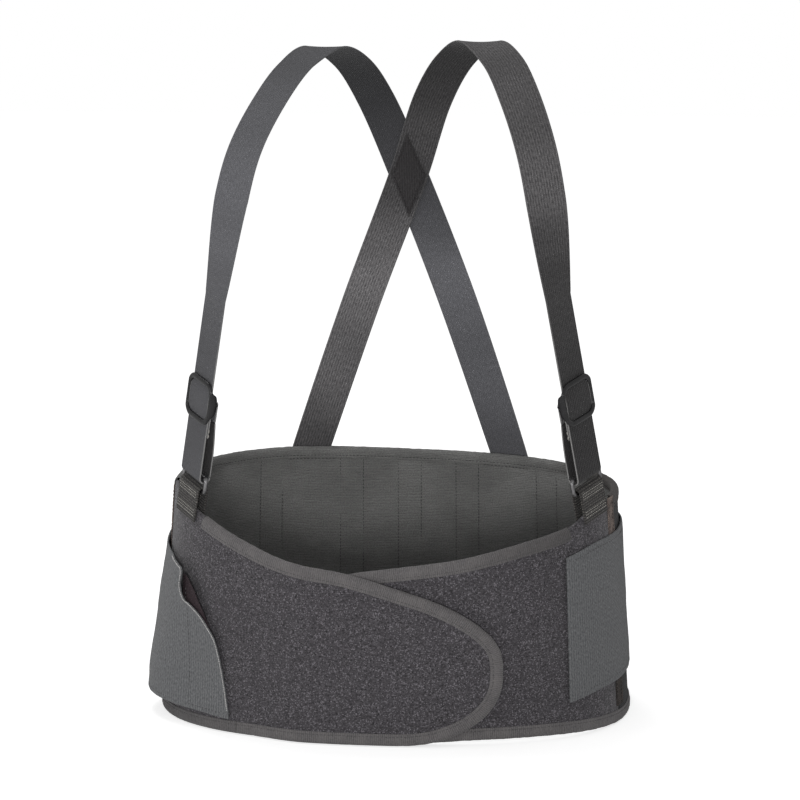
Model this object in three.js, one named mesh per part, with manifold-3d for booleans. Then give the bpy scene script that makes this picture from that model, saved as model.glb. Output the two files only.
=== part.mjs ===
// Lumbar support belt with crossed shoulder straps, worn shape.
// Millimetres, +Z up. The wearer faces -Y and +X is the wearer's left-hand side, so "right" and
// "left" in the node names are the sides as somebody facing the wearer sees them: right is +X.
// The origin is the middle of the waist at the level of the belt's lower rim.
import * as THREE from "three";
import { mergeVertices } from "three/addons/utils/BufferGeometryUtils.js";
import Module from "manifold-3d";

const wasm = await Module();
wasm.setup();

// ---- driving sizes
const BELT_HEIGHT = 200;
const LOWER = { wide: 199, deep: 131 }; // half width and half depth of the waist at the lower rim
const UPPER = { wide: 186, deep: 128 }; // and at the top, so the belt flares over the hips
const ROUNDNESS = 2.4; // exponent of the waist's superellipse
const GAP = 0.3; // air between neighbouring pieces
const PANEL = 4.4; // laminate thickness, and the total thickness of the back
const BACK_LAYER = 1.4; // each of the back's two cloth layers
const TAPE = 0.8; // binding and seam tape thickness
const BIND = 9.5; // how far the binding reaches over a face
const STRAP = { width: 34, thick: 1.4 };
const GRID = 8; // girth step of every bent piece, shared so that the facets nest
const CLOSEST = 2; // no grid station comes nearer than this to a piece's end
const TIP_STEPS = [1, 3, 6, 11]; // extra stations just inside a rounded tip
const TIP_CLEAR = 13; // and no grid station this near it

const part = new THREE.Group();
const vector = (x, y, z) => new THREE.Vector3(x, y, z);
const mix = THREE.MathUtils.lerp;
const ease = THREE.MathUtils.smoothstep;

const looks = {
  pile: { color: 0x474447, roughness: 1 },
  binding: { color: 0x686466, roughness: 0.95 },
  elastic: { color: 0x575757, roughness: 0.95 },
  pull: { color: 0x5f6062, roughness: 0.9 },
  hook: { color: 0x3a3230, roughness: 0.9 },
  tape: { color: 0x6f625c, roughness: 0.95 },
  strap: { color: 0x5c5c5f, roughness: 0.9 },
  webbing: { color: 0x4b4846, roughness: 0.85 },
  plastic: { color: 0x141416, roughness: 0.25 },
  metal: { color: 0xb8b8bb, roughness: 0.25, metalness: 1 },
  stay: { color: 0xdadad6, roughness: 0.5 },
};

// ---- the waist: a girth station s (mm from the middle of the front, + to the right) becomes a point
const halfSize = (z) => ({
  wide: mix(LOWER.wide, UPPER.wide, z / BELT_HEIGHT),
  deep: mix(LOWER.deep, UPPER.deep, z / BELT_HEIGHT),
});

function ovalPoint(angle, z) {
  const { wide, deep } = halfSize(z);
  const across = Math.abs(Math.sin(angle) / wide) ** ROUNDNESS;
  const along = Math.abs(Math.cos(angle) / deep) ** ROUNDNESS;
  const radius = (across + along) ** (-1 / ROUNDNESS);
  return [radius * Math.sin(angle), -radius * Math.cos(angle)];
}

const TABLE_STEPS = 720;
const girthTable = [0];
for (let i = 1; i <= TABLE_STEPS; i++) {
  const [x0, y0] = ovalPoint(((i - 1) * Math.PI) / TABLE_STEPS, BELT_HEIGHT / 2);
  const [x1, y1] = ovalPoint((i * Math.PI) / TABLE_STEPS, BELT_HEIGHT / 2);
  girthTable.push(girthTable[i - 1] + Math.hypot(x1 - x0, y1 - y0));
}
const HALF_GIRTH = girthTable[TABLE_STEPS];
const GIRTH = 2 * HALF_GIRTH;

function angleAt(s) {
  const turns = Math.round(s / GIRTH);
  const rest = s - turns * GIRTH;
  const target = Math.abs(rest);
  let low = 0;
  let high = TABLE_STEPS;
  while (high - low > 1) {
    const middle = (low + high) >> 1;
    if (girthTable[middle] <= target) low = middle;
    else high = middle;
  }
  const share = (target - girthTable[low]) / (girthTable[high] - girthTable[low]);
  return (Math.sign(rest) * (low + share) * Math.PI) / TABLE_STEPS + turns * 2 * Math.PI;
}

// A point at girth s and height z, held off the waist's base surface by a distance.
function wrap(s, z, off) {
  const angle = angleAt(s);
  const [x, y] = ovalPoint(angle, z);
  const [x0, y0] = ovalPoint(angle - 1e-3, z);
  const [x1, y1] = ovalPoint(angle + 1e-3, z);
  const length = Math.hypot(x1 - x0, y1 - y0);
  return vector(x + ((y1 - y0) / length) * off, y - ((x1 - x0) / length) * off, z);
}

// ---- solids: a three.js geometry whose vertices are moved by a function
function volume(geometry) {
  const at = geometry.getAttribute("position");
  const [a, b, c] = [vector(), vector(), vector()];
  let sum = 0;
  for (let i = 0; i < geometry.index.count; i += 3) {
    a.fromBufferAttribute(at, geometry.index.getX(i));
    b.fromBufferAttribute(at, geometry.index.getX(i + 1));
    c.fromBufferAttribute(at, geometry.index.getX(i + 2));
    sum += a.dot(b.cross(c));
  }
  return sum / 6;
}

function faceOut(geometry) {
  if (volume(geometry) < 0) {
    const order = geometry.index;
    for (let i = 0; i < order.count; i += 3) {
      const second = order.getX(i + 1);
      order.setX(i + 1, order.getX(i + 2));
      order.setX(i + 2, second);
    }
  }
  geometry.computeVertexNormals();
  return geometry;
}

function reshape(geometry, move) {
  geometry.deleteAttribute("normal");
  geometry.deleteAttribute("uv");
  const merged = mergeVertices(geometry, 1e-5);
  const at = merged.getAttribute("position");
  for (let i = 0; i < at.count; i++) {
    const moved = move(vector().fromBufferAttribute(at, i));
    at.setXYZ(i, moved.x, moved.y, moved.z);
  }
  return faceOut(merged);
}

function add(name, look, geometry) {
  const material = new THREE.MeshStandardMaterial({ metalness: 0, ...looks[look], name: look });
  const mesh = new THREE.Mesh(geometry, material);
  mesh.name = name;
  part.add(mesh);
}

// Girth stations from one end to the other on the shared grid, closer together near a rounded tip.
function stations(from, to, tip = null) {
  const list = [from];
  for (let s = Math.ceil(from / GRID) * GRID; s < to; s += GRID) {
    if (s - from > CLOSEST && to - s > CLOSEST) list.push(s);
  }
  list.push(to);
  if (tip === null) return list;
  const direction = Math.sign(tip - (from + to) / 2);
  const extra = TIP_STEPS.map((step) => tip - direction * step);
  const kept = list.filter((s) => Math.abs(s - tip) > TIP_CLEAR || s === (direction > 0 ? from : to));
  return [...kept, tip, ...extra].sort((a, b) => a - b);
}

// A bent sheet between two outlines low(s) and high(s), from distance off(s, z) outwards.
function sheet(columns, low, high, off, thick, rows = 1) {
  const count = columns.length - 1;
  return reshape(new THREE.BoxGeometry(1, 1, 1, count, rows, 1), (p) => {
    const s = columns[Math.round((p.x + 0.5) * count)];
    const z = mix(low(s), high(s), p.y + 0.5);
    return wrap(s, z, off(s, z) + (p.z + 0.5) * thick);
  });
}

// A U-shaped binding along an outline of [s, z] points; the sheet it holds lies to its inner side.
function binding(outline, inner, off, reach = BIND) {
  const far = GAP + TAPE;
  const section = new THREE.Shape();
  section.moveTo(-far, -far);
  section.lineTo(reach, -far);
  section.lineTo(reach, -GAP);
  section.lineTo(-GAP, -GAP);
  section.lineTo(-GAP, PANEL + GAP);
  section.lineTo(reach, PANEL + GAP);
  section.lineTo(reach, PANEL + far);
  section.lineTo(-far, PANEL + far);
  section.closePath();
  const steps = outline.length - 1;
  const extruded = new THREE.ExtrudeGeometry(section, { depth: 1, steps, bevelEnabled: false });
  return reshape(extruded, (p) => {
    const i = Math.round(p.z * steps);
    const [s, z] = outline[i];
    const [s0, z0] = outline[Math.max(i - 1, 0)];
    const [s1, z1] = outline[Math.min(i + 1, steps)];
    const length = Math.hypot(s1 - s0, z1 - z0);
    let [ns, nz] = [-(z1 - z0) / length, (s1 - s0) / length];
    if (i === 0 || i === steps) [ns, nz] = [0, Math.sign(nz)];
    const girth = s + inner * ns * p.x;
    return wrap(girth, z + inner * nz * p.x, off(girth) + p.y);
  });
}

// A ribbon along a list of { at, face } places: at is its middle, face the way its outer side looks.
function ribbon(places, width, thick) {
  const steps = places.length - 1;
  return reshape(new THREE.BoxGeometry(1, 1, 1, 2, 1, steps), (p) => {
    const i = Math.round((p.z + 0.5) * steps);
    const ahead = places[Math.min(i + 1, steps)].at.clone();
    const along = ahead.sub(places[Math.max(i - 1, 0)].at).normalize();
    const face = places[i].face.clone().addScaledVector(along, -places[i].face.dot(along)).normalize();
    const across = face.clone().cross(along);
    return places[i].at.clone().addScaledVector(across, p.x * width).addScaledVector(face, p.y * thick);
  });
}

// A height line through a few [s, z] knots.
function heightLine(knots) {
  return (s) => {
    let i = 1;
    while (i < knots.length - 1 && s > knots[i][0]) i++;
    const [s0, z0] = knots[i - 1];
    const [s1, z1] = knots[i];
    const t = THREE.MathUtils.clamp((s - s0) / (s1 - s0), 0, 1);
    const slope = (a, b) => (knots[b][1] - knots[a][1]) / (knots[b][0] - knots[a][0]);
    const m0 = slope(Math.max(i - 2, 0), i) * (s1 - s0);
    const m1 = slope(i - 1, Math.min(i + 1, knots.length - 1)) * (s1 - s0);
    const [t2, t3] = [t * t, t * t * t];
    return z0 * (2 * t3 - 3 * t2 + 1) + m0 * (t3 - 2 * t2 + t) + z1 * (3 * t2 - 2 * t3) + m1 * (t3 - t2);
  };
}

// ---- girth stations and outlines of the belt
const FOLD = { left: -122, right: 149 }; // where each front panel hinges
const SEAM = { left: -242, right: 221 }; // side seams between front panels and back
const TIP = { left: 98, right: -46 }; // ends of the two front panels
const BOUND_TO = 162; // how far round each side the front panels' top binding goes
const BOTTOM = GAP + TAPE; // the sheets end here, so that the binding's own edge is at z = 0
const backStart = SEAM.right + GAP;
const backEnd = GIRTH + SEAM.left - GAP;
const leftLine = heightLine([
  [-242, 198], [-205, 197], [-186, 190], [-160, 180], [-101, 158],
  [-67, 150], [-28, 144], [17, 131], [50, 120], [100, 100],
]);
const rightLine = heightLine([
  [-60, 141], [-29, 143], [17, 149], [67, 156], [116, 167],
  [165, 178], [182, 186], [199, 193], [221, 194],
]);
const backTop = heightLine([
  [221, 194], [330, 194], [420, 197], [530, 199.5], [640, 202], [735, 200], [818, 198],
]);
// The lower rim is level, apart from the right front, where it stands a little off the ground.
const LIFT = { by: 3.5, start: 5, full: 90, fall: 120, end: 235 };
const lowerLine = (s) =>
  BOTTOM + LIFT.by * ease(s, LIFT.start, LIFT.full) * (1 - ease(s, LIFT.fall, LIFT.end));

// The rounded end of a front panel pulls both outlines in towards its middle height.
function rounded(line, middle, start, tip, power) {
  return (s) => {
    const share = THREE.MathUtils.clamp((s - start) / (tip - start), 0, 1);
    const reach = Math.max(1 - share ** power, 0) ** (1 / power);
    return middle + (line(s) - middle) * reach;
  };
}
const panels = {
  left: {
    low: rounded(lowerLine, 62, 20, TIP.left + 0.6, 2.2),
    high: rounded(leftLine, 62, 20, TIP.left + 0.6, 3.2),
    // the left panel rises over the right one, which lies under it
    off: (s) => 6.9 * ease(s, FOLD.left + 6, FOLD.left + 62),
  },
  right: {
    low: rounded(lowerLine, 72, 10, TIP.right - 0.6, 5),
    high: rounded(rightLine, 72, 10, TIP.right - 0.6, 6),
    off: () => 0,
  },
};

function frontPanel(side) {
  const { low, high, off } = panels[side];
  const fold = FOLD[side];
  const seam = SEAM[side];
  const tip = TIP[side];
  const out = Math.sign(fold); // + towards the seam
  const line = side === "left" ? leftLine : rightLine;
  const span = (a, b, end) => stations(Math.min(a, b), Math.max(a, b), end);
  const sideColumns = span(fold + out * GAP, seam - out * GAP);
  add(`front_side_${side}`, "pile", sheet(sideColumns, lowerLine, line, () => 0, PANEL));
  const flapColumns = span(fold - out * GAP, tip, tip);
  add(`front_flap_${side}`, "pile", sheet(flapColumns, low, high, off, PANEL));

  const sideTop = span(fold + out * GAP, out * BOUND_TO).map((s) => [s, line(s)]);
  add(`edge_side_${side}`, "binding", binding(sideTop, -1, () => 0));
  const upper = flapColumns.map((s) => [s, high(s)]);
  const lower = flapColumns.map((s) => [s, low(s)]);
  const outline = out < 0 ? [...upper, ...lower.reverse()] : [...upper.reverse(), ...lower];
  add(`edge_flap_${side}`, "binding", binding(outline, out, off));
}

const STAY = { half: 8, low: 16, high: 184, places: [-128, -53, 0, 53, 130] }; // places across the back
const SEAM_TAPE = { half: 6, low: BIND + 5, high: 181 };
const HEM_REACH = 9;

function backOfBelt() {
  const layer = BACK_LAYER;
  const columns = stations(backStart, backEnd);
  add("back_panel", "elastic", sheet(columns, lowerLine, backTop, () => 0, layer));
  add("back_cover", "elastic", sheet(columns, lowerLine, backTop, () => PANEL - layer, layer));
  const stayThick = PANEL - 2 * layer - 2 * GAP;
  STAY.places.forEach((x, i) => {
    const middle = HALF_GIRTH - x;
    const strip = stations(middle - STAY.half, middle + STAY.half);
    const stay = sheet(strip, () => STAY.low, () => STAY.high, () => layer + GAP, stayThick);
    add(`stay_${i + 1}`, "stay", stay);
  });
  const hem = binding(columns.map((s) => [s, backTop(s)]), -1, () => 0, HEM_REACH);
  add("hem_back_top", "elastic", hem);
  const rim = stations(FOLD.right + GAP, GIRTH + FOLD.left - GAP);
  add("edge_lower", "binding", binding(rim.map((s) => [s, lowerLine(s)]), 1, () => 0));
  for (const side of ["left", "right"]) {
    const strip = stations(SEAM[side] - SEAM_TAPE.half, SEAM[side] + SEAM_TAPE.half);
    const tape = sheet(strip, () => SEAM_TAPE.low, () => SEAM_TAPE.high, () => PANEL + GAP, TAPE);
    add(`seam_tape_${side}`, "tape", tape);
  }
}

// ---- elastic side pulls: sewn at the back, brought round each side, stuck on the front panels
const PULL = {
  peel: 300, // girth where the free end hinges
  anchor: 470,
  thick: 1.6,
  off: PANEL + GAP + TAPE + GAP,
  left: {
    free: -129,
    low: heightLine([[-470, 42], [-400, 40], [-300, 27], [-240, 16], [-175, 13], [-129, 11]]),
    high: heightLine([
      [-470, 166], [-400, 165], [-300, 155], [-222, 146], [-198, 142],
      [-171, 128], [-153, 98], [-139, 70], [-129, 22],
    ]),
  },
  right: {
    free: 157,
    low: heightLine([[157, 30], [198, 37], [300, 42], [470, 42]]),
    high: heightLine([[157, 154], [198, 163], [300, 166], [470, 166]]),
  },
};

const BOW = { from: 150, to: PULL.peel - 4, low: 11.5, high: 1.5 }; // girths, and lifts at its edges
const PEELED = { lift: 7, from: 160, to: 215 }; // the front upper corner's lift, and its girths
const HOOK = { start: 3, end: 40, margin: 5 }; // hook patch: girths from the free end, and its border
const ANCHOR_TAPE = { before: 9, past: 5, low: 38, high: 170 };

// The left pull stands off the panel between its hinge and its stuck front end, most near its lower
// edge, and its front upper corner has peeled away from the panel.
function pullOff(s, z) {
  const clamp = THREE.MathUtils.clamp;
  const share = clamp((-s - BOW.from) / (BOW.to - BOW.from), 0, 1);
  const lift = mix(BOW.low, BOW.high, clamp((z - 40) / 110, 0, 1));
  const corner = ease(z, 40, 125) * (1 - ease(-s, PEELED.from, PEELED.to));
  const peeled = s < 0 ? PEELED.lift * corner : 0;
  return PULL.off + lift * Math.sin(Math.PI * share) ** 2 + peeled;
}

function sidePull(side) {
  const sign = side === "left" ? -1 : 1;
  const { free, low, high } = PULL[side];
  const from = (a, b) => stations(Math.min(sign * a, sign * b), Math.max(sign * a, sign * b));
  const band = sheet(from(PULL.peel + GAP, PULL.anchor), low, high, () => PULL.off, PULL.thick);
  add(`pull_band_${side}`, "pull", band);
  const end = sheet(from(Math.abs(free), PULL.peel - GAP), low, high, pullOff, PULL.thick, 4);
  add(`pull_end_${side}`, "pull", end);
  const patch = from(Math.abs(free) + HOOK.start, Math.abs(free) + HOOK.end);
  const hookLow = (s) => low(s) + HOOK.margin;
  const hookHigh = (s) => high(s) - HOOK.margin;
  add(`pull_hook_${side}`, "hook", sheet(patch, hookLow, hookHigh, () => PANEL + GAP, TAPE));
  const cover = PULL.off + PULL.thick + GAP;
  const { before, past, low: foot, high: head } = ANCHOR_TAPE;
  const anchor = from(PULL.anchor - before, PULL.anchor + past);
  add(`pull_anchor_${side}`, "tape", sheet(anchor, () => foot, () => head, () => cover, TAPE));
}

// ---- the rig at each side: webbing loop, ring, adjuster and the straight leg of the strap
const LOOP = {
  below: 12,
  left: { girth: -186, height: 190, tilt: THREE.MathUtils.degToRad(12) },
  right: { girth: 192, height: 194, tilt: THREE.MathUtils.degToRad(13) },
};
const WEBBING = 1.6;
const RING = { wire: 3.6, inside: 36, low: 15, pitch: 13, n: -0.85 };
const FOLD_RADIUS = 4.6; // the strap's fold around the ring
const LEG = { n: RING.n + FOLD_RADIUS, foot: RING.low + RING.pitch, top: 184 };
const SLIDER = { at: 94, tall: 38, bar: 4, rail: 3.4, inside: 35.2, deep: 2, middleBar: 2.3 };
const TAB = { bend: 2.6, front: 30, back: 16 }; // the strap's sewn end: fold radius and its two lengths
const BAR_FACE = STRAP.thick / 2 + GAP; // the outer bars' inner face, off the strap's middle
const MIDDLE_BAR = -(BAR_FACE + STRAP.thick / 2 + TAB.bend); // and the middle bar's centre

// The frame of one side's hardware: along the ring's bars, up the strap, and out of the belt.
function makeRig(side) {
  const { girth, height, tilt } = LOOP[side];
  const sign = Math.sign(girth);
  const origin = wrap(girth, height, PANEL / 2);
  const toBack = wrap(girth + sign * 4, height, 0).sub(wrap(girth - sign * 4, height, 0)).normalize();
  const upwards = wrap(girth, height + 20, 0).sub(wrap(girth, height - 20, 0));
  upwards.addScaledVector(toBack, -upwards.dot(toBack)).normalize();
  const along = toBack.clone().multiplyScalar(Math.cos(tilt)).addScaledVector(upwards, Math.sin(tilt));
  const up = upwards.clone().multiplyScalar(Math.cos(tilt)).addScaledVector(toBack, -Math.sin(tilt));
  const out = along.clone().cross(up).multiplyScalar(sign);
  const at = (b, t, n) =>
    origin.clone().addScaledVector(along, b).addScaledVector(up, t).addScaledVector(out, n);
  return { side, sign, origin, along, up, out, at };
}

function arcPlaces(rig, t, n, radius, fromDegrees, toDegrees, steps) {
  const places = [];
  for (let i = 0; i <= steps; i++) {
    const angle = THREE.MathUtils.degToRad(mix(fromDegrees, toDegrees, i / steps));
    const face = rig.out.clone().multiplyScalar(Math.cos(angle)).addScaledVector(rig.up, Math.sin(angle));
    places.push({ at: rig.at(0, t, n).addScaledVector(face, radius), face });
  }
  return places;
}

function webbingLoop(rig) {
  const outer = PANEL / 2 + GAP + WEBBING / 2;
  const inner = 2 * RING.n - outer;
  const inward = rig.out.clone().negate();
  const places = [
    { at: rig.at(0, -LOOP.below, outer), face: rig.out },
    ...arcPlaces(rig, RING.low, RING.n, outer - RING.n, 0, 180, 8),
    { at: rig.at(0, -LOOP.below, inner), face: inward },
  ];
  add(`loop_${rig.side}`, "webbing", ribbon(places, STRAP.width, WEBBING));
}

function roundedRectangle(shape, width, height, radius) {
  const [w, h] = [width / 2, height / 2];
  shape.moveTo(w - radius, -h);
  shape.absarc(w - radius, -h + radius, radius, -Math.PI / 2, 0, false);
  shape.absarc(w - radius, h - radius, radius, 0, Math.PI / 2, false);
  shape.absarc(-w + radius, h - radius, radius, Math.PI / 2, Math.PI, false);
  shape.absarc(-w + radius, -h + radius, radius, Math.PI, Math.PI * 1.5, false);
  return shape;
}

function ring(rig) {
  const { wire, inside, low, pitch, n } = RING;
  const bevel = 0.7;
  const width = inside + 2 * wire;
  const height = pitch + wire;
  const frame = roundedRectangle(new THREE.Shape(), width - 2 * bevel, height - 2 * bevel, 2.4);
  const hole = roundedRectangle(new THREE.Path(), inside + 2 * bevel, pitch - wire + 2 * bevel, 1.6);
  frame.holes.push(hole);
  const options = { depth: wire - 2 * bevel, bevelSize: bevel, bevelThickness: bevel, bevelSegments: 1 };
  const extruded = new THREE.ExtrudeGeometry(frame, { ...options, curveSegments: 3 });
  const middle = low + pitch / 2;
  const place = (p) => rig.at(p.x, middle + p.y, n + p.z - options.depth / 2);
  add(`ring_${rig.side}`, "metal", reshape(extruded, place));
}

function manifoldOf(geometry) {
  geometry.deleteAttribute("normal");
  geometry.deleteAttribute("uv");
  const merged = mergeVertices(geometry, 1e-5);
  const mesh = new wasm.Mesh({
    numProp: 3,
    vertProperties: Float32Array.from(merged.getAttribute("position").array),
    triVerts: Uint32Array.from(merged.index.array),
  });
  return new wasm.Manifold(mesh);
}

function geometryOf(solid) {
  const mesh = solid.getMesh();
  const geometry = new THREE.BufferGeometry();
  geometry.setAttribute("position", new THREE.BufferAttribute(Float32Array.from(mesh.vertProperties), 3));
  geometry.setIndex(Array.from(mesh.triVerts));
  return geometry;
}

// Two rails, two outer bars in front of the strap and a middle bar behind it.
function slider(rig) {
  const { tall, bar, rail, inside, deep, middleBar, at } = SLIDER;
  const box = (w, h, d, x, y, z) => manifoldOf(new THREE.BoxGeometry(w, h, d).translate(x, y, z));
  const deepest = MIDDLE_BAR - middleBar / 2;
  const railDeep = BAR_FACE + deep - deepest;
  const between = inside + rail; // from the middle of one rail to the middle of the other
  const pieces = [box(between, middleBar, middleBar, 0, 0, MIDDLE_BAR)];
  for (const sign of [-1, 1]) {
    pieces.push(box(rail, tall, railDeep, (sign * between) / 2, 0, deepest + railDeep / 2));
    pieces.push(box(between, bar, deep, 0, (sign * (tall - bar)) / 2, BAR_FACE + deep / 2));
  }
  const solid = wasm.Manifold.union(pieces);
  const place = (p) => rig.at(p.x, at + p.y, LEG.n + p.z);
  add(`slider_${rig.side}`, "plastic", reshape(geometryOf(solid), place));
}

// The strap's own end, sewn round the slider's middle bar, and the leg that comes up to it from the ring.
function strapEnd(rig) {
  const inward = rig.out.clone().negate();
  const bar = LEG.n + MIDDLE_BAR;
  const tab = [
    { at: rig.at(0, SLIDER.at - TAB.front, bar + TAB.bend), face: rig.out },
    ...arcPlaces(rig, SLIDER.at, bar, TAB.bend, 0, 180, 6),
    { at: rig.at(0, SLIDER.at - TAB.back, bar - TAB.bend), face: inward },
  ];
  add(`strap_tab_${rig.side}`, "strap", ribbon(tab, STRAP.width, STRAP.thick));
  const back = [
    { at: rig.at(0, LEG.foot + GAP, RING.n - FOLD_RADIUS), face: inward },
    { at: rig.at(0, SLIDER.at - TAB.back - GAP, bar - TAB.bend), face: inward },
  ];
  add(`strap_return_${rig.side}`, "strap", ribbon(back, STRAP.width, STRAP.thick));
}

// ---- shoulder straps: [x, y, z] of the middle line above the straight leg, and the across hint
const CHEST = {
  right: [
    [133, -98, 452], [124, -86, 493], [109, -60, 533], [92, -28, 562],
    [71, 5, 575], [48, 40, 559], [25, 78, 522],
  ],
  left: [
    [127, -98, 452], [117, -86, 492], [99, -60, 531], [81, -28, 558],
    [62, 5, 570], [43, 40, 556], [26, 78, 522],
  ],
};
const SHOULDER = 4; // the last point whose height both straps keep before one passes inside the other
const CROSS = { y: 115, height: 451 };
const BELOW_CROSS = { x: 43, y: 127, height: 337 };
const BACK_ENDS = [[88, 206], [93, 190], [99, 173]]; // [x along the back, height] where a strap is sewn on
const STRAP_STEPS = 44;
const strapMiddles = {};

function strap(rig) {
  const { sign, side } = rig;
  // the right strap passes inside the left one, nearer the wearer, where they cross
  const layer = side === "right" ? -1 : 1;
  const leg = { at: rig.at(0, LEG.top, LEG.n), across: rig.along.clone() };
  const plain = vector(sign, 0, 0);
  // on the chest the strap's face still turns outwards, more on the left side than on the right
  const turns = { left: [0.5, 0.48, 0.45, 0.4], right: [0.3, 0.15] }[side];
  const chest = (i) => vector(sign, turns[i] ?? 0, 0).normalize();
  const knots = [leg];
  CHEST[side].forEach(([x, y, z], i) => {
    const shift = i > SHOULDER ? layer : 0;
    knots.push({ at: vector(sign * x, y + shift, z), across: chest(i) });
  });
  knots.push({ at: vector(0, CROSS.y + layer, CROSS.height), across: plain });
  const below = vector(-sign * BELOW_CROSS.x, BELOW_CROSS.y + layer, BELOW_CROSS.height);
  knots.push({ at: below, across: plain });
  const hug = PANEL + GAP + TAPE + GAP + STRAP.thick / 2;
  for (const [x, z] of BACK_ENDS) {
    const s = -sign * (HALF_GIRTH - x);
    const across = wrap(s + 3, z, 0).sub(wrap(s - 3, z, 0)).normalize();
    if (across.x * sign < 0) across.negate();
    knots.push({ at: wrap(s, z, hug), across });
  }
  const count = knots.length - 1;
  const middle = new THREE.CatmullRomCurve3(knots.map((k) => k.at), false, "centripetal");
  strapMiddles[side] = middle;
  const hints = knots.map((k) => k.across);
  const places = [];
  for (let i = 1; i <= STRAP_STEPS; i++) {
    const t = i / STRAP_STEPS;
    const along = middle.getTangent(t);
    const k = Math.min(Math.floor(t * count), count - 1);
    const across = hints[k].clone().lerp(hints[k + 1], t * count - k);
    places.push({ at: middle.getPoint(t), face: across.cross(along).multiplyScalar(sign).normalize() });
  }
  const fold = arcPlaces(rig, LEG.foot, RING.n, FOLD_RADIUS, -180, 0, 8);
  const straight = [{ at: rig.at(0, LEG.top, LEG.n), face: rig.out }];
  const all = [...fold, ...straight, ...places];
  add(`strap_${side}`, "strap", ribbon(all, STRAP.width, STRAP.thick));
}

// A diamond on the inner strap's inner face, bent with it.
const PATCH = { half: 15.5, tall: 38, tip: 0.6, clear: 0.7 }; // half width and height, tip and air under it

function crossingPatch() {
  const path = strapMiddles.right.getPoints(400).filter((p) => p.y > 60 && Math.abs(p.x) < 60);
  const atHeight = (z) => path.reduce((a, b) => (Math.abs(b.z - z) < Math.abs(a.z - z) ? b : a));
  const box = new THREE.BoxGeometry(1, 1, 1, 2, 8, 1);
  const off = STRAP.thick / 2 + PATCH.clear;
  add("cross_patch", "strap", reshape(box, (p) => {
    const z = CROSS.height + 2 * PATCH.tall * p.y;
    const [above, below] = [atHeight(z + 6), atHeight(z - 6)];
    const slope = (above.y - below.y) / (above.z - below.z);
    const half = Math.max(PATCH.half * (1 - 2 * Math.abs(p.y)), PATCH.tip);
    const distance = off + (p.z + 0.5) * TAPE;
    const length = Math.hypot(1, slope);
    const y = (above.y + below.y) / 2;
    return vector(2 * p.x * half, y - distance / length, z + (distance * slope) / length);
  }));
}

// The hook patch inside the left panel's tongue, which holds the belt closed.
const TONGUE_HOOK = { from: 10, to: 72, low: 34, high: 88, thick: 1.2 };

function tongueHook() {
  const { from, to, low, high, thick } = TONGUE_HOOK;
  const off = () => panels.left.off(TIP.left) - GAP - thick;
  add("tongue_hook", "hook", sheet(stations(from, to), () => low, () => high, off, thick));
}

backOfBelt();
frontPanel("left");
frontPanel("right");
tongueHook();
sidePull("left");
sidePull("right");
const rigs = ["left", "right"].map(makeRig);
for (const rig of rigs) {
  webbingLoop(rig);
  ring(rig);
  slider(rig);
  strapEnd(rig);
  strap(rig);
}
crossingPatch();

// The lines that the joints turn about or slide along, in mm, kept with the part.
const line = (s, off) => [wrap(s, 0, off), wrap(s, 160, off)];
part.userData.axes = {
  front_left: line(FOLD.left, PANEL + GAP + TAPE + 0.2),
  front_right: line(FOLD.right, PANEL + GAP + TAPE + 0.2),
  pull_left: line(-PULL.peel, PULL.off + PULL.thick),
  pull_right: line(PULL.peel, PULL.off + PULL.thick),
};
for (const rig of rigs) {
  part.userData.axes[`ring_${rig.side}`] = [rig.at(0, RING.low, RING.n), rig.at(100, RING.low, RING.n)];
  part.userData.axes[`slider_${rig.side}`] = [rig.at(0, 0, LEG.n), rig.at(0, 100, LEG.n)];
}

export default part;
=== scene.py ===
import math

import bmesh
import bpy
import numpy as np
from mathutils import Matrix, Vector


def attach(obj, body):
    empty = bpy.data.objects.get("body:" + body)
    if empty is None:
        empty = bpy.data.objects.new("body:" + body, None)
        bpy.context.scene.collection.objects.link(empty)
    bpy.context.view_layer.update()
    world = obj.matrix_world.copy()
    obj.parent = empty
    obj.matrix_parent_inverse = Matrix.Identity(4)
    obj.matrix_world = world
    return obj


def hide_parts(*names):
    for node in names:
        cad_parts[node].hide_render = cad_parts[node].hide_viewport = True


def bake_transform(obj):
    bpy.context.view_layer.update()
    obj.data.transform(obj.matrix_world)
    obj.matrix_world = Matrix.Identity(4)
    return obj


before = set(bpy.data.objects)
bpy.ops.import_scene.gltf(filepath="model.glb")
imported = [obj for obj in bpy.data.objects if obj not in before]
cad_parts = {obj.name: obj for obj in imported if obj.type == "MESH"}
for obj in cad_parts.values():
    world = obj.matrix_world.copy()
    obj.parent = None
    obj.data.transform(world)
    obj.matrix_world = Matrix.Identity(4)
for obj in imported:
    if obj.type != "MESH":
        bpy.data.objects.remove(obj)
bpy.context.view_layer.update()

# Lumbar support belt with crossed shoulder straps. Lengths are millimetres until a mesh is made.
# A place on the belt is a girth station s (from the front's middle, + towards +X), a height z and a
# distance off the waist's base surface, as in the CAD.
MM = 0.001
BELT_HEIGHT = 200.0
LOWER = (199.0, 131.0)  # half width and half depth at the lower rim
UPPER = (186.0, 128.0)  # and at the top
ROUNDNESS = 2.4
GAP = 0.3
PANEL = 4.4
TAPE = 0.8
BIND = 9.5  # how far the binding reaches in from an edge
BOUND_TO = 162.0  # girth where the front panels' top binding ends
FAR = GAP + TAPE
SEAM_INSET = 2.4  # from a tape's edge to its seam
LAYER = 1.4  # each of the back's two layers
STRAP_WIDE = 34.0
STRAP_THICK = 1.4
WEB_CORD = 2.8  # spacing of the loop webbing's lengthwise cords
WEB_RIB = 2.3  # and of the ribs across it
SIDES = ("left", "right")
SIGN = {"left": -1.0, "right": 1.0}
FOLD = {"left": -122.0, "right": 149.0}
SEAM = {"left": -242.0, "right": 221.0}
TIP = {"left": 98.0, "right": -46.0}
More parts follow.
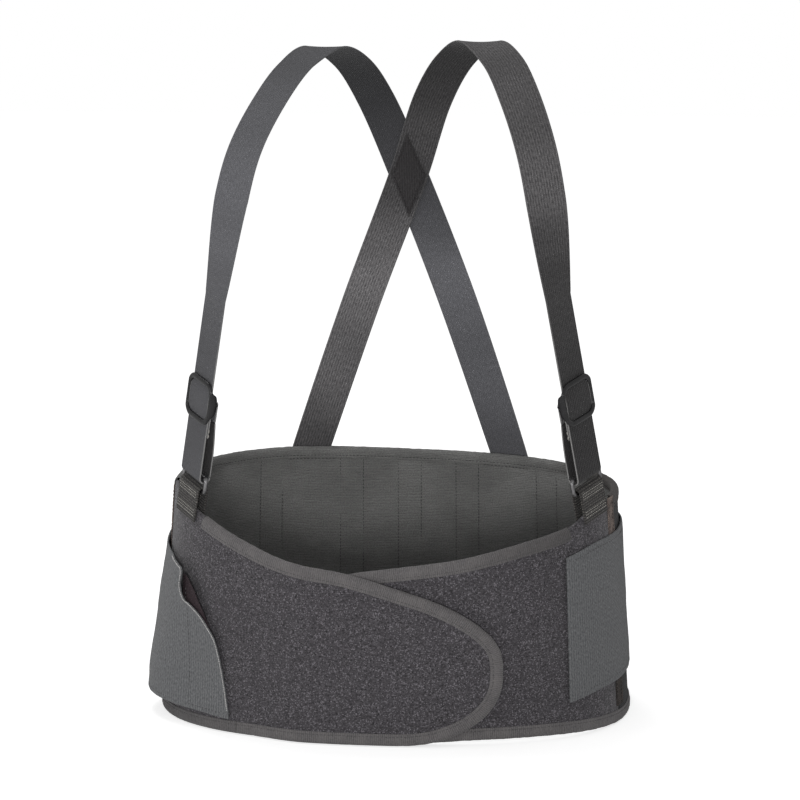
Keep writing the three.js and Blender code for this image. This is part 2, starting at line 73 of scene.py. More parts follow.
TIPWARD = {side: np.sign(TIP[side]) for side in SIDES}
FRONT_LIFT = 3.5  # how far the lower rim stands off the ground at the right front


# ---- the waist surface
def oval(angle, z):
    share = z / BELT_HEIGHT
    wide = LOWER[0] + (UPPER[0] - LOWER[0]) * share
    deep = LOWER[1] + (UPPER[1] - LOWER[1]) * share
    across = np.abs(np.sin(angle) / wide) ** ROUNDNESS
    along = np.abs(np.cos(angle) / deep) ** ROUNDNESS
    radius = (across + along) ** (-1 / ROUNDNESS)
    return radius * np.sin(angle), -radius * np.cos(angle)


def lengths_along(points):
    """How far along a polyline each of its points is."""
    return np.concatenate([[0], np.cumsum(np.linalg.norm(np.diff(points, axis=0), axis=1))])


ANGLES = np.linspace(0, math.pi, 721)
GIRTHS = lengths_along(np.stack(oval(ANGLES, BELT_HEIGHT / 2), -1))
HALF_GIRTH = GIRTHS[-1]
GIRTH = 2 * HALF_GIRTH


def wrap(s, z, off):
    """Points on the belt, in mm, for arrays of girth, height and distance off the base surface."""
    s, z, off = np.broadcast_arrays(*(np.asarray(v, float) for v in (s, z, off)))
    turns = np.round(s / GIRTH)
    rest = s - turns * GIRTH
    angle = np.sign(rest) * np.interp(np.abs(rest), GIRTHS, ANGLES) + turns * 2 * math.pi
    x, y = oval(angle, z)
    x0, y0 = oval(angle - 1e-3, z)
    x1, y1 = oval(angle + 1e-3, z)
    length = np.hypot(x1 - x0, y1 - y0)
    return np.stack([x + (y1 - y0) / length * off, y - (x1 - x0) / length * off, z + 0 * off], -1)


def ease(x, low, high):
    t = np.clip((x - low) / (high - low), 0, 1)
    return t * t * (3 - 2 * t)


def unit(v):
    v = np.asarray(v, float)
    return v / np.linalg.norm(v, axis=-1, keepdims=True)


def wander(x, y, size, seed):
    """A smooth uneven height, about -1 to 1, whose swells are roughly size mm across."""
    rng = np.random.default_rng(seed)
    total = 0.0
    for _ in range(8):
        turn, phase = rng.uniform(0, 2 * math.pi, 2)
        wave = size * rng.uniform(0.7, 1.7)
        total = total + np.sin((x * math.cos(turn) + y * math.sin(turn)) * 2 * math.pi / wave + phase)
    return total / 4


def level(value):
    """A height or distance that is the same at every girth."""
    return lambda s: 0 * s + value


def height_line(knots):
    """A smooth height over girth through a few [s, z] knots."""
    xs, zs = np.array(knots, float).T
    last = len(xs) - 1
    before = np.maximum(np.arange(last + 1) - 1, 0)
    after = np.minimum(np.arange(last + 1) + 1, last)
    slopes = (zs[after] - zs[before]) / (xs[after] - xs[before])

    def line(s):
        i = np.clip(np.searchsorted(xs, s), 1, last)
        width = xs[i] - xs[i - 1]
        t = np.clip((s - xs[i - 1]) / width, 0, 1)
        start = zs[i - 1] * (2 * t**3 - 3 * t**2 + 1) + slopes[i - 1] * width * (t**3 - 2 * t**2 + t)
        return start + zs[i] * (3 * t**2 - 2 * t**3) + slopes[i] * width * (t**3 - t**2)

    return line


def rounded(line, middle, start, tip, power):
    """line, drawn in towards a middle height between start and tip, as a rounded end."""

    def shaped(s):
        share = np.clip((s - start) / (tip - start), 0, 1)
        return middle + (line(s) - middle) * np.maximum(1 - share**power, 0) ** (1 / power)

    return shaped


left_line = height_line([[-242, 198], [-205, 197], [-186, 190], [-160, 180], [-101, 158], [-67, 150],
                         [-28, 144], [17, 131], [50, 120], [100, 100]])
right_line = height_line([[-60, 141], [-29, 143], [17, 149], [67, 156], [116, 167], [165, 178],
                          [182, 186], [199, 193], [221, 194]])
back_top = height_line([[221, 194], [330, 194], [420, 197], [530, 199.5], [640, 202], [735, 200],
                        [818, 198]])


def lower_line(s):
    return FAR + FRONT_LIFT * ease(s, 5, 90) * (1 - ease(s, 120, 235))


PANEL_LOW = {
    "left": rounded(lower_line, 62, 20, TIP["left"] + 0.6, 2.2),
    "right": rounded(lower_line, 72, 10, TIP["right"] - 0.6, 5),
}
PANEL_HIGH = {
    "left": rounded(left_line, 62, 20, TIP["left"] + 0.6, 3.2),
    "right": rounded(right_line, 72, 10, TIP["right"] - 0.6, 6),
}
PANEL_OFF = {
    "left": lambda s: 6.9 * ease(s, FOLD["left"] + 6, FOLD["left"] + 62),
    "right": level(0.0),
}


# ---- meshes
def mesh_object(name, points, faces, cloth, material, face_slots=None):
    """A mesh from mm points and faces, with the cloth coordinates, in mm, as its UV map."""
    mesh = bpy.data.meshes.new(name)
    mesh.from_pydata((points * MM).tolist(), [], faces)
    if cloth is not None:
        layer = mesh.uv_layers.new(name="cloth")
        corners = np.zeros(len(mesh.loops), int)
        mesh.loops.foreach_get("vertex_index", corners)
        layer.data.foreach_set("uv", cloth[corners].astype(np.float32).ravel())
    for m in material if isinstance(material, list) else [material]:
        mesh.materials.append(m)
    if face_slots is not None:
        mesh.polygons.foreach_set("material_index", face_slots)
    mesh.polygons.foreach_set("use_smooth", [True] * len(mesh.polygons))
    bm = bmesh.new()
    bm.from_mesh(mesh)
    bmesh.ops.recalc_face_normals(bm, faces=bm.faces)
    bm.to_mesh(mesh)
    bm.free()
    piece = bpy.data.objects.new(name, mesh)
    bpy.context.scene.collection.objects.link(piece)
    return piece


def grid_solid(name, outer, inner, cloth, material):
    """A closed solid between two grids of points. A list of two materials gives its inner face the
    second."""
    m, n = outer.shape[:2]
    index = np.arange(m * n).reshape(m, n)
    front = np.stack([index[:-1, :-1], index[1:, :-1], index[1:, 1:], index[:-1, 1:]], -1).reshape(-1, 4)
    back = front[:, ::-1] + m * n
    edge = np.concatenate([index[:, 0], index[-1, 1:], index[-2::-1, -1], index[0, -2::-1]])
    rim = np.stack([edge[:-1], edge[:-1] + m * n, edge[1:] + m * n, edge[1:]], -1)
    faces = np.concatenate([front, back, rim])
    slots = np.zeros(len(faces), np.int32)
    slots[len(front):len(front) + len(back)] = 1 if isinstance(material, list) else 0
    points = np.concatenate([outer.reshape(-1, 3), inner.reshape(-1, 3)])
    both = np.concatenate([cloth.reshape(-1, 2)] * 2)
    return mesh_object(name, points, faces.tolist(), both, material, slots)


def tube_faces(rings, corners, closed):
    """Faces over rings of points. The last ring joins the first, or else both ends are capped."""
    index = np.arange(rings * corners).reshape(rings, corners)
    ahead = np.roll(index, -1, 0)
    quads = np.stack([index, ahead, np.roll(ahead, -1, 1), np.roll(index, -1, 1)], -1)
    if closed:
        return quads.reshape(-1, 4).tolist()
    return quads[:-1].reshape(-1, 4).tolist() + [index[0].tolist(), index[-1, ::-1].tolist()]


CLOSE = 0.8  # spacing of stations where a shape is sharp


def spaced(start, end, step, near=()):
    """Stations about step apart, closer at both ends and round each place in near."""
    sign = 1 if end > start else -1
    length = abs(end - start)
    places = set(np.round(np.linspace(0, length, max(int(length / step), 1) + 1), 3).tolist())
    for place in near:
        middle = (place - start) * sign
        places -= {p for p in places if abs(p - middle) < 2.8 * CLOSE and 0 < p < length}
        close = {middle + k * CLOSE for k in (-2, -1, 0, 1, 2)}
        places |= {p for p in close if 0.5 < p < length - 0.5}
    if length > 4:
        places |= {0.25, 0.8, length - 0.8, length - 0.25}
    return start + sign * np.array(sorted(places))


def edge_share(grid, radius):
    """How thick a sheet is near its edges, from a third at the edge to whole a radius inside it."""
    steps = np.linalg.norm(np.diff(grid, axis=0), axis=-1)
    along = np.concatenate([np.zeros((1, grid.shape[1])), np.cumsum(steps, 0)])
    steps = np.linalg.norm(np.diff(grid, axis=1), axis=-1)
    across = np.concatenate([np.zeros((grid.shape[0], 1)), np.cumsum(steps, 1)], 1)
    nearest = np.minimum.reduce([along, along[-1] - along, across, across[:, -1:] - across])
    inside = np.clip(nearest / radius, 0, 1)
    return 0.33 + 0.67 * np.sqrt(1 - (1 - inside) ** 2)


def cloth_sheet(name, s, z, middle, thick, material, out_face=0.0, in_face=0.0):
    """A sheet of cloth at girths s and heights z, its middle at a distance off the base surface.
    out_face and in_face raise its two faces, outwards and inwards."""
    share = edge_share(wrap(s, z, middle), thick / 2)
    outer = wrap(s, z, middle + share * thick / 2 + out_face)
    inner = wrap(s, z, middle - share * thick / 2 - in_face)
    return grid_solid(name, outer, inner, np.stack([s, z], -1), material)


def grid_between(columns, low, high, step):
    """Girths and heights of a sheet between two outlines, with close rows at its upper and lower edge."""
    rows = spaced(0, BELT_HEIGHT, step) / BELT_HEIGHT
    s = np.repeat(columns[:, None], len(rows), 1)
    bottom, top = low(columns)[:, None], high(columns)[:, None]
    return s, bottom + (top - bottom) * rows[None, :]


def values_at(at, lengths, values):
    """Rows of values that are known at lengths, worked out at other lengths."""
    return np.stack([np.interp(at, lengths, column) for column in values.T], -1)


def resample(points, step):
    """A polyline at even steps, and how far along it each new point is."""
    points = np.asarray(points, float)
    lengths = lengths_along(points)
    at = np.linspace(0, lengths[-1], max(int(lengths[-1] / step), 1) + 1)
    return values_at(at, lengths, points), at


def binding(name, outline, inner_sign, off, material, reach=BIND, seed=1):
    """Tape folded over a panel's edge, whose outline is [s, z] points with the panel on its inner side."""
    path, length = resample(outline, 1.6)
    slope = unit(np.gradient(path, axis=0))
    kernel = np.ones(5) / 5
    for _ in range(2):
        padded = np.pad(slope, ((2, 2), (0, 0)), mode="edge")
        slope = unit(np.stack([np.convolve(column, kernel, "valid") for column in padded.T], -1))
    normal = inner_sign * np.stack([-slope[:, 1], slope[:, 0]], -1)

    # the tape's section: flat on the outer face, round the edge and flat on the inner face
    bend = (PANEL + 2 * FAR) / 2
    turns = np.linspace(math.pi / 2, 3 * math.pi / 2, 11)
    flat = np.array([reach, reach - 0.5, reach - 1.6, reach - 2.4, reach - 3.2, reach * 0.55, reach * 0.35])
    depth = np.concatenate([flat, bend - FAR + bend * np.cos(turns), flat[::-1]])
    height = np.concatenate([0 * flat + PANEL + FAR, PANEL / 2 + bend * np.sin(turns), 0 * flat - FAR])
    face = np.concatenate([0 * flat + 1, np.sin(turns), 0 * flat - 1])
    edgeways = np.concatenate([0 * flat, np.cos(turns), 0 * flat])

    # drawn in along its seam and its lip, puffed and uneven elsewhere
    run = length[:, None]
    inset = np.abs(depth - reach)
    seam = np.exp(-(((inset - SEAM_INSET) / 0.9) ** 2)) * (depth > bend - FAR)
    lip = np.exp(-inset / 0.4)
    swell = 0.35 * wander(run, 0 * run, 9, seed) + 0.22 * wander(run, 0 * run, 4, seed + 1)
    puff = 0.45 * np.sin(np.clip(inset / reach, 0, 1) * math.pi)
    raise_by = puff * (1 + swell) - 0.5 * seam - 0.35 * lip
    solid = []
    for inwards, lowest in ((0.0, 0.05), (TAPE, 0.3)):
        p = depth + edgeways * (0.5 * swell - inwards + 0.2)
        s = path[:, :1] + normal[:, :1] * p
        z = np.maximum(path[:, 1:] + normal[:, 1:] * p, lowest)
        solid.append(wrap(s, z, off(s) + height + face * (raise_by - inwards)))
    section = np.concatenate([[0], np.cumsum(np.hypot(np.diff(depth), np.diff(height)))])
    cloth = np.stack(np.broadcast_arrays(run, section[None, :]), -1)
    return grid_solid(name, *solid, cloth, material)


def webbing(name, places, faces, x, thick, outside, inside, material):
    """Webbing along a line of places, whose outer side looks along faces. x are the stations across
    it. Its two faces are raised by outside and inside."""
    along = unit(np.gradient(places, axis=0))
    faces = unit(faces - along * np.sum(faces * along, -1, keepdims=True))
    middle = places[:, None] + np.cross(faces, along)[:, None] * x[None, :, None]
    half = edge_share(middle, thick / 2) * thick / 2
    outer = middle + faces[:, None] * (half + outside)[..., None]
    inner = middle - faces[:, None] * (half + inside)[..., None]
    cloth = np.stack(np.broadcast_arrays(x[None, :], lengths_along(places)[:, None]), -1)
    return grid_solid(name, outer, inner, cloth, material)


def ribbon(name, places, faces, width, thick, material, crown=0.0, selvedge=0.0):
    """Smooth webbing, with its middle crowned and its edges beaded where that is wanted."""
    inset = np.array([0, 0.3, 0.8, 1.7, 2.6])
    between = np.linspace(inset[-1], width - inset[-1], 14)[1:-1]
    x = np.concatenate([inset, between, width - inset[::-1]]) - width / 2
    rise = crown * (1 - (2 * x / width) ** 2)
    bead = selvedge * np.exp(-(((width / 2 - np.abs(x)) - 0.9) / 0.6) ** 2)
    return webbing(name, places, faces, x, thick, bead + rise, bead - rise, material)


# A stitch is a spindle of rings: their places along it, their widths and how far they are raised,
# the last two as shares of its radius.
STITCH_RINGS = (
    (0.0, 0.15, -0.35),
    (0.14, 0.8, 0.25),
    (0.5, 1.0, 0.45),
    (0.86, 0.8, 0.25),
    (1.0, 0.15, -0.35),
)
STITCH_CORNERS = 5


def thread(name, runs, yarn, radius=0.34, pitch=3.2, share=0.72):
    """Stitches as little spindles of yarn. Each run is the points of a seam and the normals there."""
    starts, ends, normals = [], [], []
    for points, faces in runs:
        lengths = lengths_along(points)
        count = max(int(lengths[-1] / pitch), 1)
        step = lengths[-1] / count
        at = (np.arange(count) + 0.5 * (1 - share)) * step
        starts.append(values_at(at, lengths, points))
        ends.append(values_at(at + share * step, lengths, points))
        normals.append(unit(values_at(at, lengths, faces)))
    starts, ends, normals = (np.concatenate(v) for v in (starts, ends, normals))
    side = unit(np.cross(normals, unit(ends - starts)))
    turns = np.arange(STITCH_CORNERS) * 2 * math.pi / STITCH_CORNERS
    ring = np.cos(turns)[:, None, None] * side + np.sin(turns)[:, None, None] * normals
    rings = []
    for along, wide, lift in STITCH_RINGS:
        centre = starts + (ends - starts) * along + normals * lift * radius
        rings.append(centre + ring * wide * radius)
    points = np.stack(rings).transpose(2, 0, 1, 3).reshape(-1, 3)  # stitch by stitch
    size = len(STITCH_RINGS) * STITCH_CORNERS
    spindle = tube_faces(len(STITCH_RINGS), STITCH_CORNERS, closed=False)
    faces = [[v + k * size for v in face] for k in range(len(starts)) for face in spindle]
    return mesh_object(name, points, faces, None, yarn)


def seam_run(points, off, facing=1):
    """A seam on the belt through [s, z] points at a distance off, looking outwards or inwards."""
    path, _ = resample(points, 2.0)
    at = off(path[:, 0]) if callable(off) else off
    here = wrap(path[:, 0], path[:, 1], at)
    return here, facing * (wrap(path[:, 0], path[:, 1], at + 1) - here)


# ---- materials
def linear(rgb):
    """A linear colour with alpha from 8-bit sRGB."""
    return tuple(((c / 255 + 0.055) / 1.055) ** 2.4 for c in rgb) + (1.0,)


def dimmed(rgb, share):
    return tuple(share * c for c in rgb)


class Shade:
    """A procedural material: a Principled shader and the nodes that drive it."""

    def __init__(self, name, rough=0.9, sheen=0.0, specular=0.35):
        self.material = bpy.data.materials.new(name)
        self.material.use_nodes = True
        self.tree = self.material.node_tree
        self.shader = self.tree.nodes["Principled BSDF"]
        self.shader.inputs["Roughness"].default_value = rough
        self.shader.inputs["Sheen Weight"].default_value = sheen
        self.shader.inputs["Sheen Roughness"].default_value = 0.5
        self.shader.inputs["Specular IOR Level"].default_value = specular

    def node(self, kind, sockets=(), **settings):
        made = self.tree.nodes.new(kind)
        for key, value in settings.items():
            setattr(made, key, value)
        for key, value in dict(sockets).items():
            if isinstance(value, bpy.types.NodeSocket):
                self.tree.links.new(value, made.inputs[key])
            else:
                made.inputs[key].default_value = value
        return made

    def cloth(self):
        """The cloth coordinates in mm: u, v and both as a vector."""
        both = self.node("ShaderNodeUVMap", uv_map="cloth").outputs["UV"]
        split = self.node("ShaderNodeSeparateXYZ", {"Vector": both})
        return split.outputs["X"], split.outputs["Y"], both

    def place(self):
        """Object coordinates in mm."""
        at = self.node("ShaderNodeTexCoord").outputs["Object"]
        return self.node("ShaderNodeVectorMath", {0: at, 3: 1 / MM}, operation="SCALE").outputs[0]

    def axis(self, letter):
        """One of the object coordinates, in mm."""
        return self.node("ShaderNodeSeparateXYZ", {"Vector": self.place()}).outputs[letter]

    def scaled(self, vector, x, y, z=1.0):
        return self.node("ShaderNodeVectorMath", {0: vector, 1: (x, y, z)}, operation="MULTIPLY").outputs[0]

    def maths(self, operation, *values):
        return self.node("ShaderNodeMath", dict(enumerate(values)), operation=operation).outputs[0]

    def ribs(self, coordinate, pitch, uneven=None, by=0.0):
        """A wave from 0 to 1 with one crest every pitch mm, shifted by uneven, a value, times by mm."""
        if uneven is not None:
            coordinate = self.times_plus(uneven, by, coordinate)
        turned = self.maths("MULTIPLY", coordinate, 2 * math.pi / pitch)
        return self.times_plus(self.maths("SINE", turned), 0.5, 0.5)

    def noise(self, vector, per_mm, detail=2.0, rough=0.5):
        sockets = {"Vector": vector, "Scale": per_mm, "Detail": detail, "Roughness": rough}
        return self.node("ShaderNodeTexNoise", sockets).outputs["Fac"]

    def spread(self, value, low, high, to_low=0.0, to_high=1.0):
        sockets = {"Value": value, "From Min": low, "From Max": high, "To Min": to_low, "To Max": to_high}
        return self.node("ShaderNodeMapRange", sockets).outputs["Result"]

    def blend(self, share, a, b):
        """Between two colours, each of them a socket or 8-bit sRGB."""
        made = self.node("ShaderNodeMix", data_type="RGBA")
        for index, value in ((0, share), (6, a), (7, b)):
            if isinstance(value, bpy.types.NodeSocket):
                self.tree.links.new(value, made.inputs[index])
            else:
                made.inputs[index].default_value = linear(value)
        return made.outputs[2]

    def painted_light_by_height(self, colour, light_stops):
        """Painted light and shade: a colour made brighter or darker by height, through [height in mm,
        brightness] stops.
        """
        low, high = light_stops[0][0], light_stops[-1][0]
        ramp = self.node("ShaderNodeValToRGB", {"Fac": self.spread(self.axis("Z"), low, high)})
        stops = ramp.color_ramp.elements
        most = max(brightness for _, brightness in light_stops)
        for i, (z, brightness) in enumerate(light_stops):
            share = (z - low) / (high - low)
            stop = stops[0] if i == 0 else stops.new(share) if i < len(light_stops) - 1 else stops[-1]
            stop.position = share
            stop.color = (brightness / most,) * 3 + (1,)
        factor = self.maths("MULTIPLY", ramp.outputs["Color"], most)
        return self.node("ShaderNodeVectorMath", {0: colour, 3: factor}, operation="SCALE").outputs[0]

    def times_plus(self, a, b, c):
        return self.maths("MULTIPLY_ADD", a, b, c)

    def drive(self, name, value):
        self.tree.links.new(value, self.shader.inputs[name])

    def finished(self, colour, height, millimetres):
        """The material in a colour, its surface raised by height times so many millimetres."""
        self.drive("Base Color", colour)
        sockets = {"Height": height, "Distance": millimetres * MM, "Strength": 1.0}
        self.drive("Normal", self.node("ShaderNodeBump", sockets).outputs["Normal"])
        return self.material


def pile_material():
    """Brushed loops: a speckle of light and dark fibre ends over soft, uneven patches."""
    m = Shade("pile_loops", rough=1.0, sheen=0.25, specular=0.1)
    _, _, both = m.cloth()
    grain = m.noise(m.scaled(both, 1.0, 1.3), 0.5, 2.0, 0.8)
    cells = m.node("ShaderNodeTexVoronoi", {"Vector": both, "Scale": 1.25}).outputs["Color"]
    fibre = m.node("ShaderNodeSeparateColor", {"Color": cells})
    clumps = m.noise(both, 0.16)
    patches = m.noise(both, 0.03)
    share = m.times_plus(fibre.outputs["Red"], 0.55, m.spread(grain, 0.38, 0.62, 0.0, 0.5))
    tone = m.blend(share, (20, 19, 20), (98, 95, 99))
    tone = m.blend(m.spread(clumps, 0.35, 0.65, 0.0, 0.3), tone, (52, 50, 52))
    tone = m.blend(m.spread(patches, 0.35, 0.65, 0.0, 0.25), tone, (66, 63, 67))
    flecks = m.spread(fibre.outputs["Green"], 0.82, 0.95)
    tone = m.blend(m.maths("MULTIPLY", flecks, 0.5), tone, (150, 146, 152))
    return m.finished(tone, m.maths("ADD", grain, m.maths("MULTIPLY", clumps, 0.8)), 0.9)


def lining_material():
    """The smooth knitted back of the laminate."""
    m = Shade("panel_lining", rough=0.95, sheen=0.15, specular=0.15)
    u, v, both = m.cloth()
    knit = m.maths("MULTIPLY", m.ribs(u, 1.6), m.ribs(v, 1.2))
    tone = m.blend(knit, (50, 49, 51), (72, 71, 73))
    tone = m.blend(m.spread(m.noise(both, 0.04), 0.3, 0.7, 0.0, 0.3), tone, (58, 56, 58))
    return m.finished(tone, knit, 0.3)


def binding_material():
    """Folded tape with fine ribs across it and a few rubbed places. Painted shade darkens it at the
    left front corner of the rim, near the floor, and it is also darker at the top of the right panel."""
    m = Shade("binding_tape", rough=0.92, sheen=0.2, specular=0.2)
    u, _, both = m.cloth()
    across = m.ribs(u, 1.7, m.noise(both, 0.35), 0.9)
    grain = m.noise(m.scaled(both, 1.0, 0.6), 0.9)
    rubbed = m.spread(m.noise(both, 0.06, 3.0, 0.6), 0.42, 0.7)
    share = m.times_plus(across, 0.45, m.spread(grain, 0.3, 0.7, 0.0, 0.55))
    tone = m.blend(share, (76, 74, 74), (118, 115, 116))
    tone = m.blend(m.maths("MULTIPLY", rubbed, 0.35), tone, (128, 124, 123))
    x, z = m.axis("X"), m.axis("Z")
    # painted shade at the rim's left front corner near the floor; the right panel's top is darker too
    painted_shade_low_left = m.maths("MULTIPLY", m.spread(x, -185, -110, 0.6, 0.0), m.spread(z, 30, 60, 1.0, 0.0))
    top_right = m.maths("MULTIPLY", m.spread(x, 60, 160, 0.0, 0.6), m.spread(z, 120, 150))
    tone = m.blend(m.maths("ADD", painted_shade_low_left, top_right), tone, (62, 60, 60))
    return m.finished(tone, m.maths("ADD", across, grain), 0.35)


def elastic_material(name, dark=(90, 90, 89), light=(142, 142, 140), shaded=None):
    """Woven elastic: fine level ribs, broken by a faint upright weave. shaded is a stretch of x over
    which painted shade darkens it."""
    m = Shade(name, rough=0.95, sheen=0.1, specular=0.15)
    u, v, both = m.cloth()
    streaks = m.noise(m.scaled(both, 0.12, 1.5), 0.6, 2.0, 0.6)
    picks = m.ribs(v, 1.5, streaks, 0.8)
    share = m.times_plus(picks, 0.3, m.spread(m.noise(both, 0.9), 0.4, 0.6, 0.0, 0.4))
    share = m.times_plus(m.spread(streaks, 0.3, 0.7), 0.3, share)
    tone = m.blend(share, dark, light)
    worn = m.spread(m.noise(both, 0.018, 3.0, 0.55), 0.4, 0.65, 0.0, 0.35)
    tone = m.blend(worn, tone, dimmed(dark, 0.86))
    if shaded:
        # painted shade over the stretch of x given in shaded
        tone = m.blend(m.spread(m.axis("X"), *shaded, 0.0, 0.75), tone, (58, 52, 50))
    return m.finished(tone, m.times_plus(m.ribs(u, 2.1), 0.35, picks), 0.3)


def pull_material():
    """Smooth elastic of fine upright ribs with a twill across them."""
    m = Shade("pull_elastic", rough=0.85, sheen=0.12, specular=0.25)
    u, v, both = m.cloth()
    twill = m.ribs(u, 2.4, m.noise(both, 0.3, 1.0), 1.5)
    picks = m.ribs(v, 1.3)
    grain = m.noise(m.scaled(both, 1.2, 0.5), 0.8)
    soft = m.spread(m.noise(both, 0.02), 0.35, 0.65)
    share = m.times_plus(twill, 0.3, m.spread(grain, 0.38, 0.62, 0.0, 0.5))
    share = m.times_plus(picks, 0.2, share)
    tone = m.blend(share, (70, 71, 72), (128, 129, 131))
    tone = m.blend(m.maths("MULTIPLY", soft, 0.25), tone, (98, 99, 101))
    return m.finished(tone, m.maths("ADD", twill, picks), 0.22)


def hook_material():
    """Moulded hooks: a field of tiny points on dark tape."""
    m = Shade("hook_tape", rough=0.7, specular=0.4)
    u, v, both = m.cloth()
    points = m.maths("MULTIPLY", m.ribs(u, 1.5), m.ribs(v, 1.3))
    share = m.times_plus(points, 0.6, m.spread(m.noise(both, 0.7), 0.3, 0.7, 0.0, 0.4))
    tone = m.blend(share, (34, 26, 29), (82, 66, 72))
    return m.finished(tone, points, 0.8)


def tape_material():
    """Brown-grey woven seam tape, uneven where it is worn."""
    m = Shade("seam_tape_weave", rough=0.9, sheen=0.1, specular=0.2)
    u, v, both = m.cloth()
    chevron = m.ribs(m.maths("ADD", v, m.maths("PINGPONG", u, 3.0)), 1.8)
    worn = m.spread(m.noise(both, 0.12, 3.0, 0.65), 0.4, 0.68)
    tone = m.blend(chevron, (92, 82, 77), (136, 121, 113))
    tone = m.blend(worn, tone, (62, 55, 52))
    # painted light by height: painted shade darkens the tape towards the bottom, and it is lighter at the
    # top
    tone = m.painted_light_by_height(tone, [(0, 0.3), (90, 0.35), (150, 1.15), (200, 1.3)])
    return m.finished(tone, m.maths("ADD", chevron, worn), 0.35)


def strap_material(name, dark, light, rib, light_stops):
    """Elastic strap webbing: ribs along it, fine picks across, and a pale selvedge with a painted
    highlight. light_stops are [height, brightness] stops of painted light and shade."""
    m = Shade(name, rough=0.88, sheen=0.1, specular=0.22)
    u, v, both = m.cloth()
    uneven = m.noise(both, 0.25, 1.0)
    along = m.ribs(u, rib, uneven, 0.8)
    picks = m.ribs(v, 1.7, uneven, 0.9)
    grain = m.noise(m.scaled(both, 1.2, 0.45), 0.7)
    share = m.times_plus(along, 0.4, m.spread(grain, 0.38, 0.62, 0.0, 0.5))
    share = m.times_plus(picks, 0.12, share)
    tone = m.blend(share, dark, light)
    soft = m.spread(m.noise(m.scaled(both, 0.5, 1.0), 0.02), 0.35, 0.65, 0.0, 0.3)
    # painted light and shade by height
    tone = m.painted_light_by_height(m.blend(soft, tone, dimmed(dark, 0.88)), light_stops)
    # the pale selvedge, with a painted highlight along the edges that is strongest low down
    edge = m.spread(m.maths("ABSOLUTE", u), STRAP_WIDE / 2 - 0.5, STRAP_WIDE / 2 - 0.1)
    edge_highlight = m.spread(m.axis("Z"), 300, 370, 0.85, 0.2)
    tone = m.blend(m.maths("MULTIPLY", edge, edge_highlight), tone, (146, 145, 144))
    return m.finished(tone, m.times_plus(picks, 0.4, along), 0.28)


def webbing_material():
    """Coarse nylon webbing: bold ribs across, split by lengthwise valleys, with painted glints on the rib
    crests.
    """
    m = Shade("coarse_webbing", rough=0.7, sheen=0.1, specular=0.45)
    u, v, both = m.cloth()
    across = m.ribs(v, WEB_RIB, m.noise(both, 0.5, 1.0), 0.7)
    height = m.maths("MULTIPLY", across, m.times_plus(m.ribs(u, WEB_CORD), 0.6, 0.4))
    painted_glints = m.spread(m.noise(m.scaled(both, 0.5, 1.6), 0.9, 1.0), 0.56, 0.72)
    tone = m.blend(height, (34, 32, 31), (74, 71, 68))
    # painted highlight: pale glints on the rib crests
    tone = m.blend(m.maths("MULTIPLY", painted_glints, height), tone, (150, 145, 138))
    return m.finished(tone, height, 0.9)


def plastic_material():
    """Moulded black plastic with a fine satin texture and rubbed corners."""
    m = Shade("moulded_black", rough=0.3, specular=0.5)
    at = m.place()
    worn = m.noise(at, 0.12, 3.0, 0.6)
    tone = m.blend(m.spread(worn, 0.35, 0.7), (24, 24, 25), (40, 39, 41))
    m.drive("Roughness", m.spread(worn, 0.3, 0.7, 0.2, 0.34))
    return m.finished(tone, m.noise(at, 1.6), 0.04)


def metal_material():
    """Nickel plate with faint drawing lines."""
    m = Shade("nickel_plate", rough=0.25)
    m.shader.inputs["Metallic"].default_value = 1.0
    at = m.place()
    worn = m.noise(at, 0.25, 3.0, 0.6)
    tone = m.blend(m.spread(worn, 0.35, 0.7), (112, 111, 112), (152, 151, 152))
    m.drive("Roughness", m.spread(worn, 0.3, 0.7, 0.34, 0.5))
    return m.finished(tone, m.noise(m.scaled(at, 1.0, 1.0, 0.2), 1.5, 1.0), 0.03)


def stay_material():
    """Milky flat plastic."""
    m = Shade("stay_plastic", rough=0.5, specular=0.4)
    at = m.place()
    tone = m.blend(m.noise(at, 0.05), (214, 213, 206), (228, 227, 221))
    return m.finished(tone, m.noise(at, 0.8), 0.05)


def thread_material(name, rgb):
    """Twisted sewing thread."""
    m = Shade(name, rough=0.75, specular=0.3)
    strands = m.noise(m.place(), 1.4, 1.0)
    tone = m.blend(m.spread(strands, 0.35, 0.65), dimmed(rgb, 0.75), rgb)
    return m.finished(tone, strands, 0.08)


WEAVES = {  # dark and light yarn, and the spacing of the ribs
    "left": ((80, 80, 83), (106, 106, 110), 1.5),
    "right": ((58, 57, 58), (108, 106, 107), 2.3),
}
# painted light and shade on each strap's outer face, by height
OUTER_PAINTED_LIGHT = {
    "left": [(250, 0.75), (330, 0.78), (400, 1.15), (450, 1.3), (520, 1.08), (560, 0.75), (580, 0.65)],
    "right": [(240, 0.35), (310, 0.42), (400, 0.68), (425, 0.8), (445, 1.25), (520, 1.1), (580, 0.88)],
}
# painted light and shade on each strap's inner face: darkest high up, where it faces down behind the
# shoulder
INNER_PAINTED_LIGHT = {
    "left": [(200, 0.9), (230, 1.05), (300, 1.25), (370, 1.42), (396, 1.0), (430, 0.7), (501, 0.45),
             (545, 0.28)],
    "right": [(200, 0.85), (230, 1.25), (300, 1.7), (360, 1.85), (396, 1.5), (430, 0.8), (501, 0.72),
              (545, 0.38)],
}
# painted shade, darker low down, where this weave lines the return legs
DARK_PAINTED_SHADE = [(150, 0.7), (300, 0.8), (400, 1.0), (500, 1.0)]

PILE = pile_material()
LINING = lining_material()
BINDING = binding_material()
ELASTIC = elastic_material("back_elastic")
# painted shade towards the right side of the back
HEM = elastic_material("hem_elastic", shaded=(120, 180))
COVER = elastic_material("cover_elastic", (40, 40, 41), (64, 64, 65))
PULL = pull_material()
HOOK = hook_material()
SEAM_TAPE = tape_material()
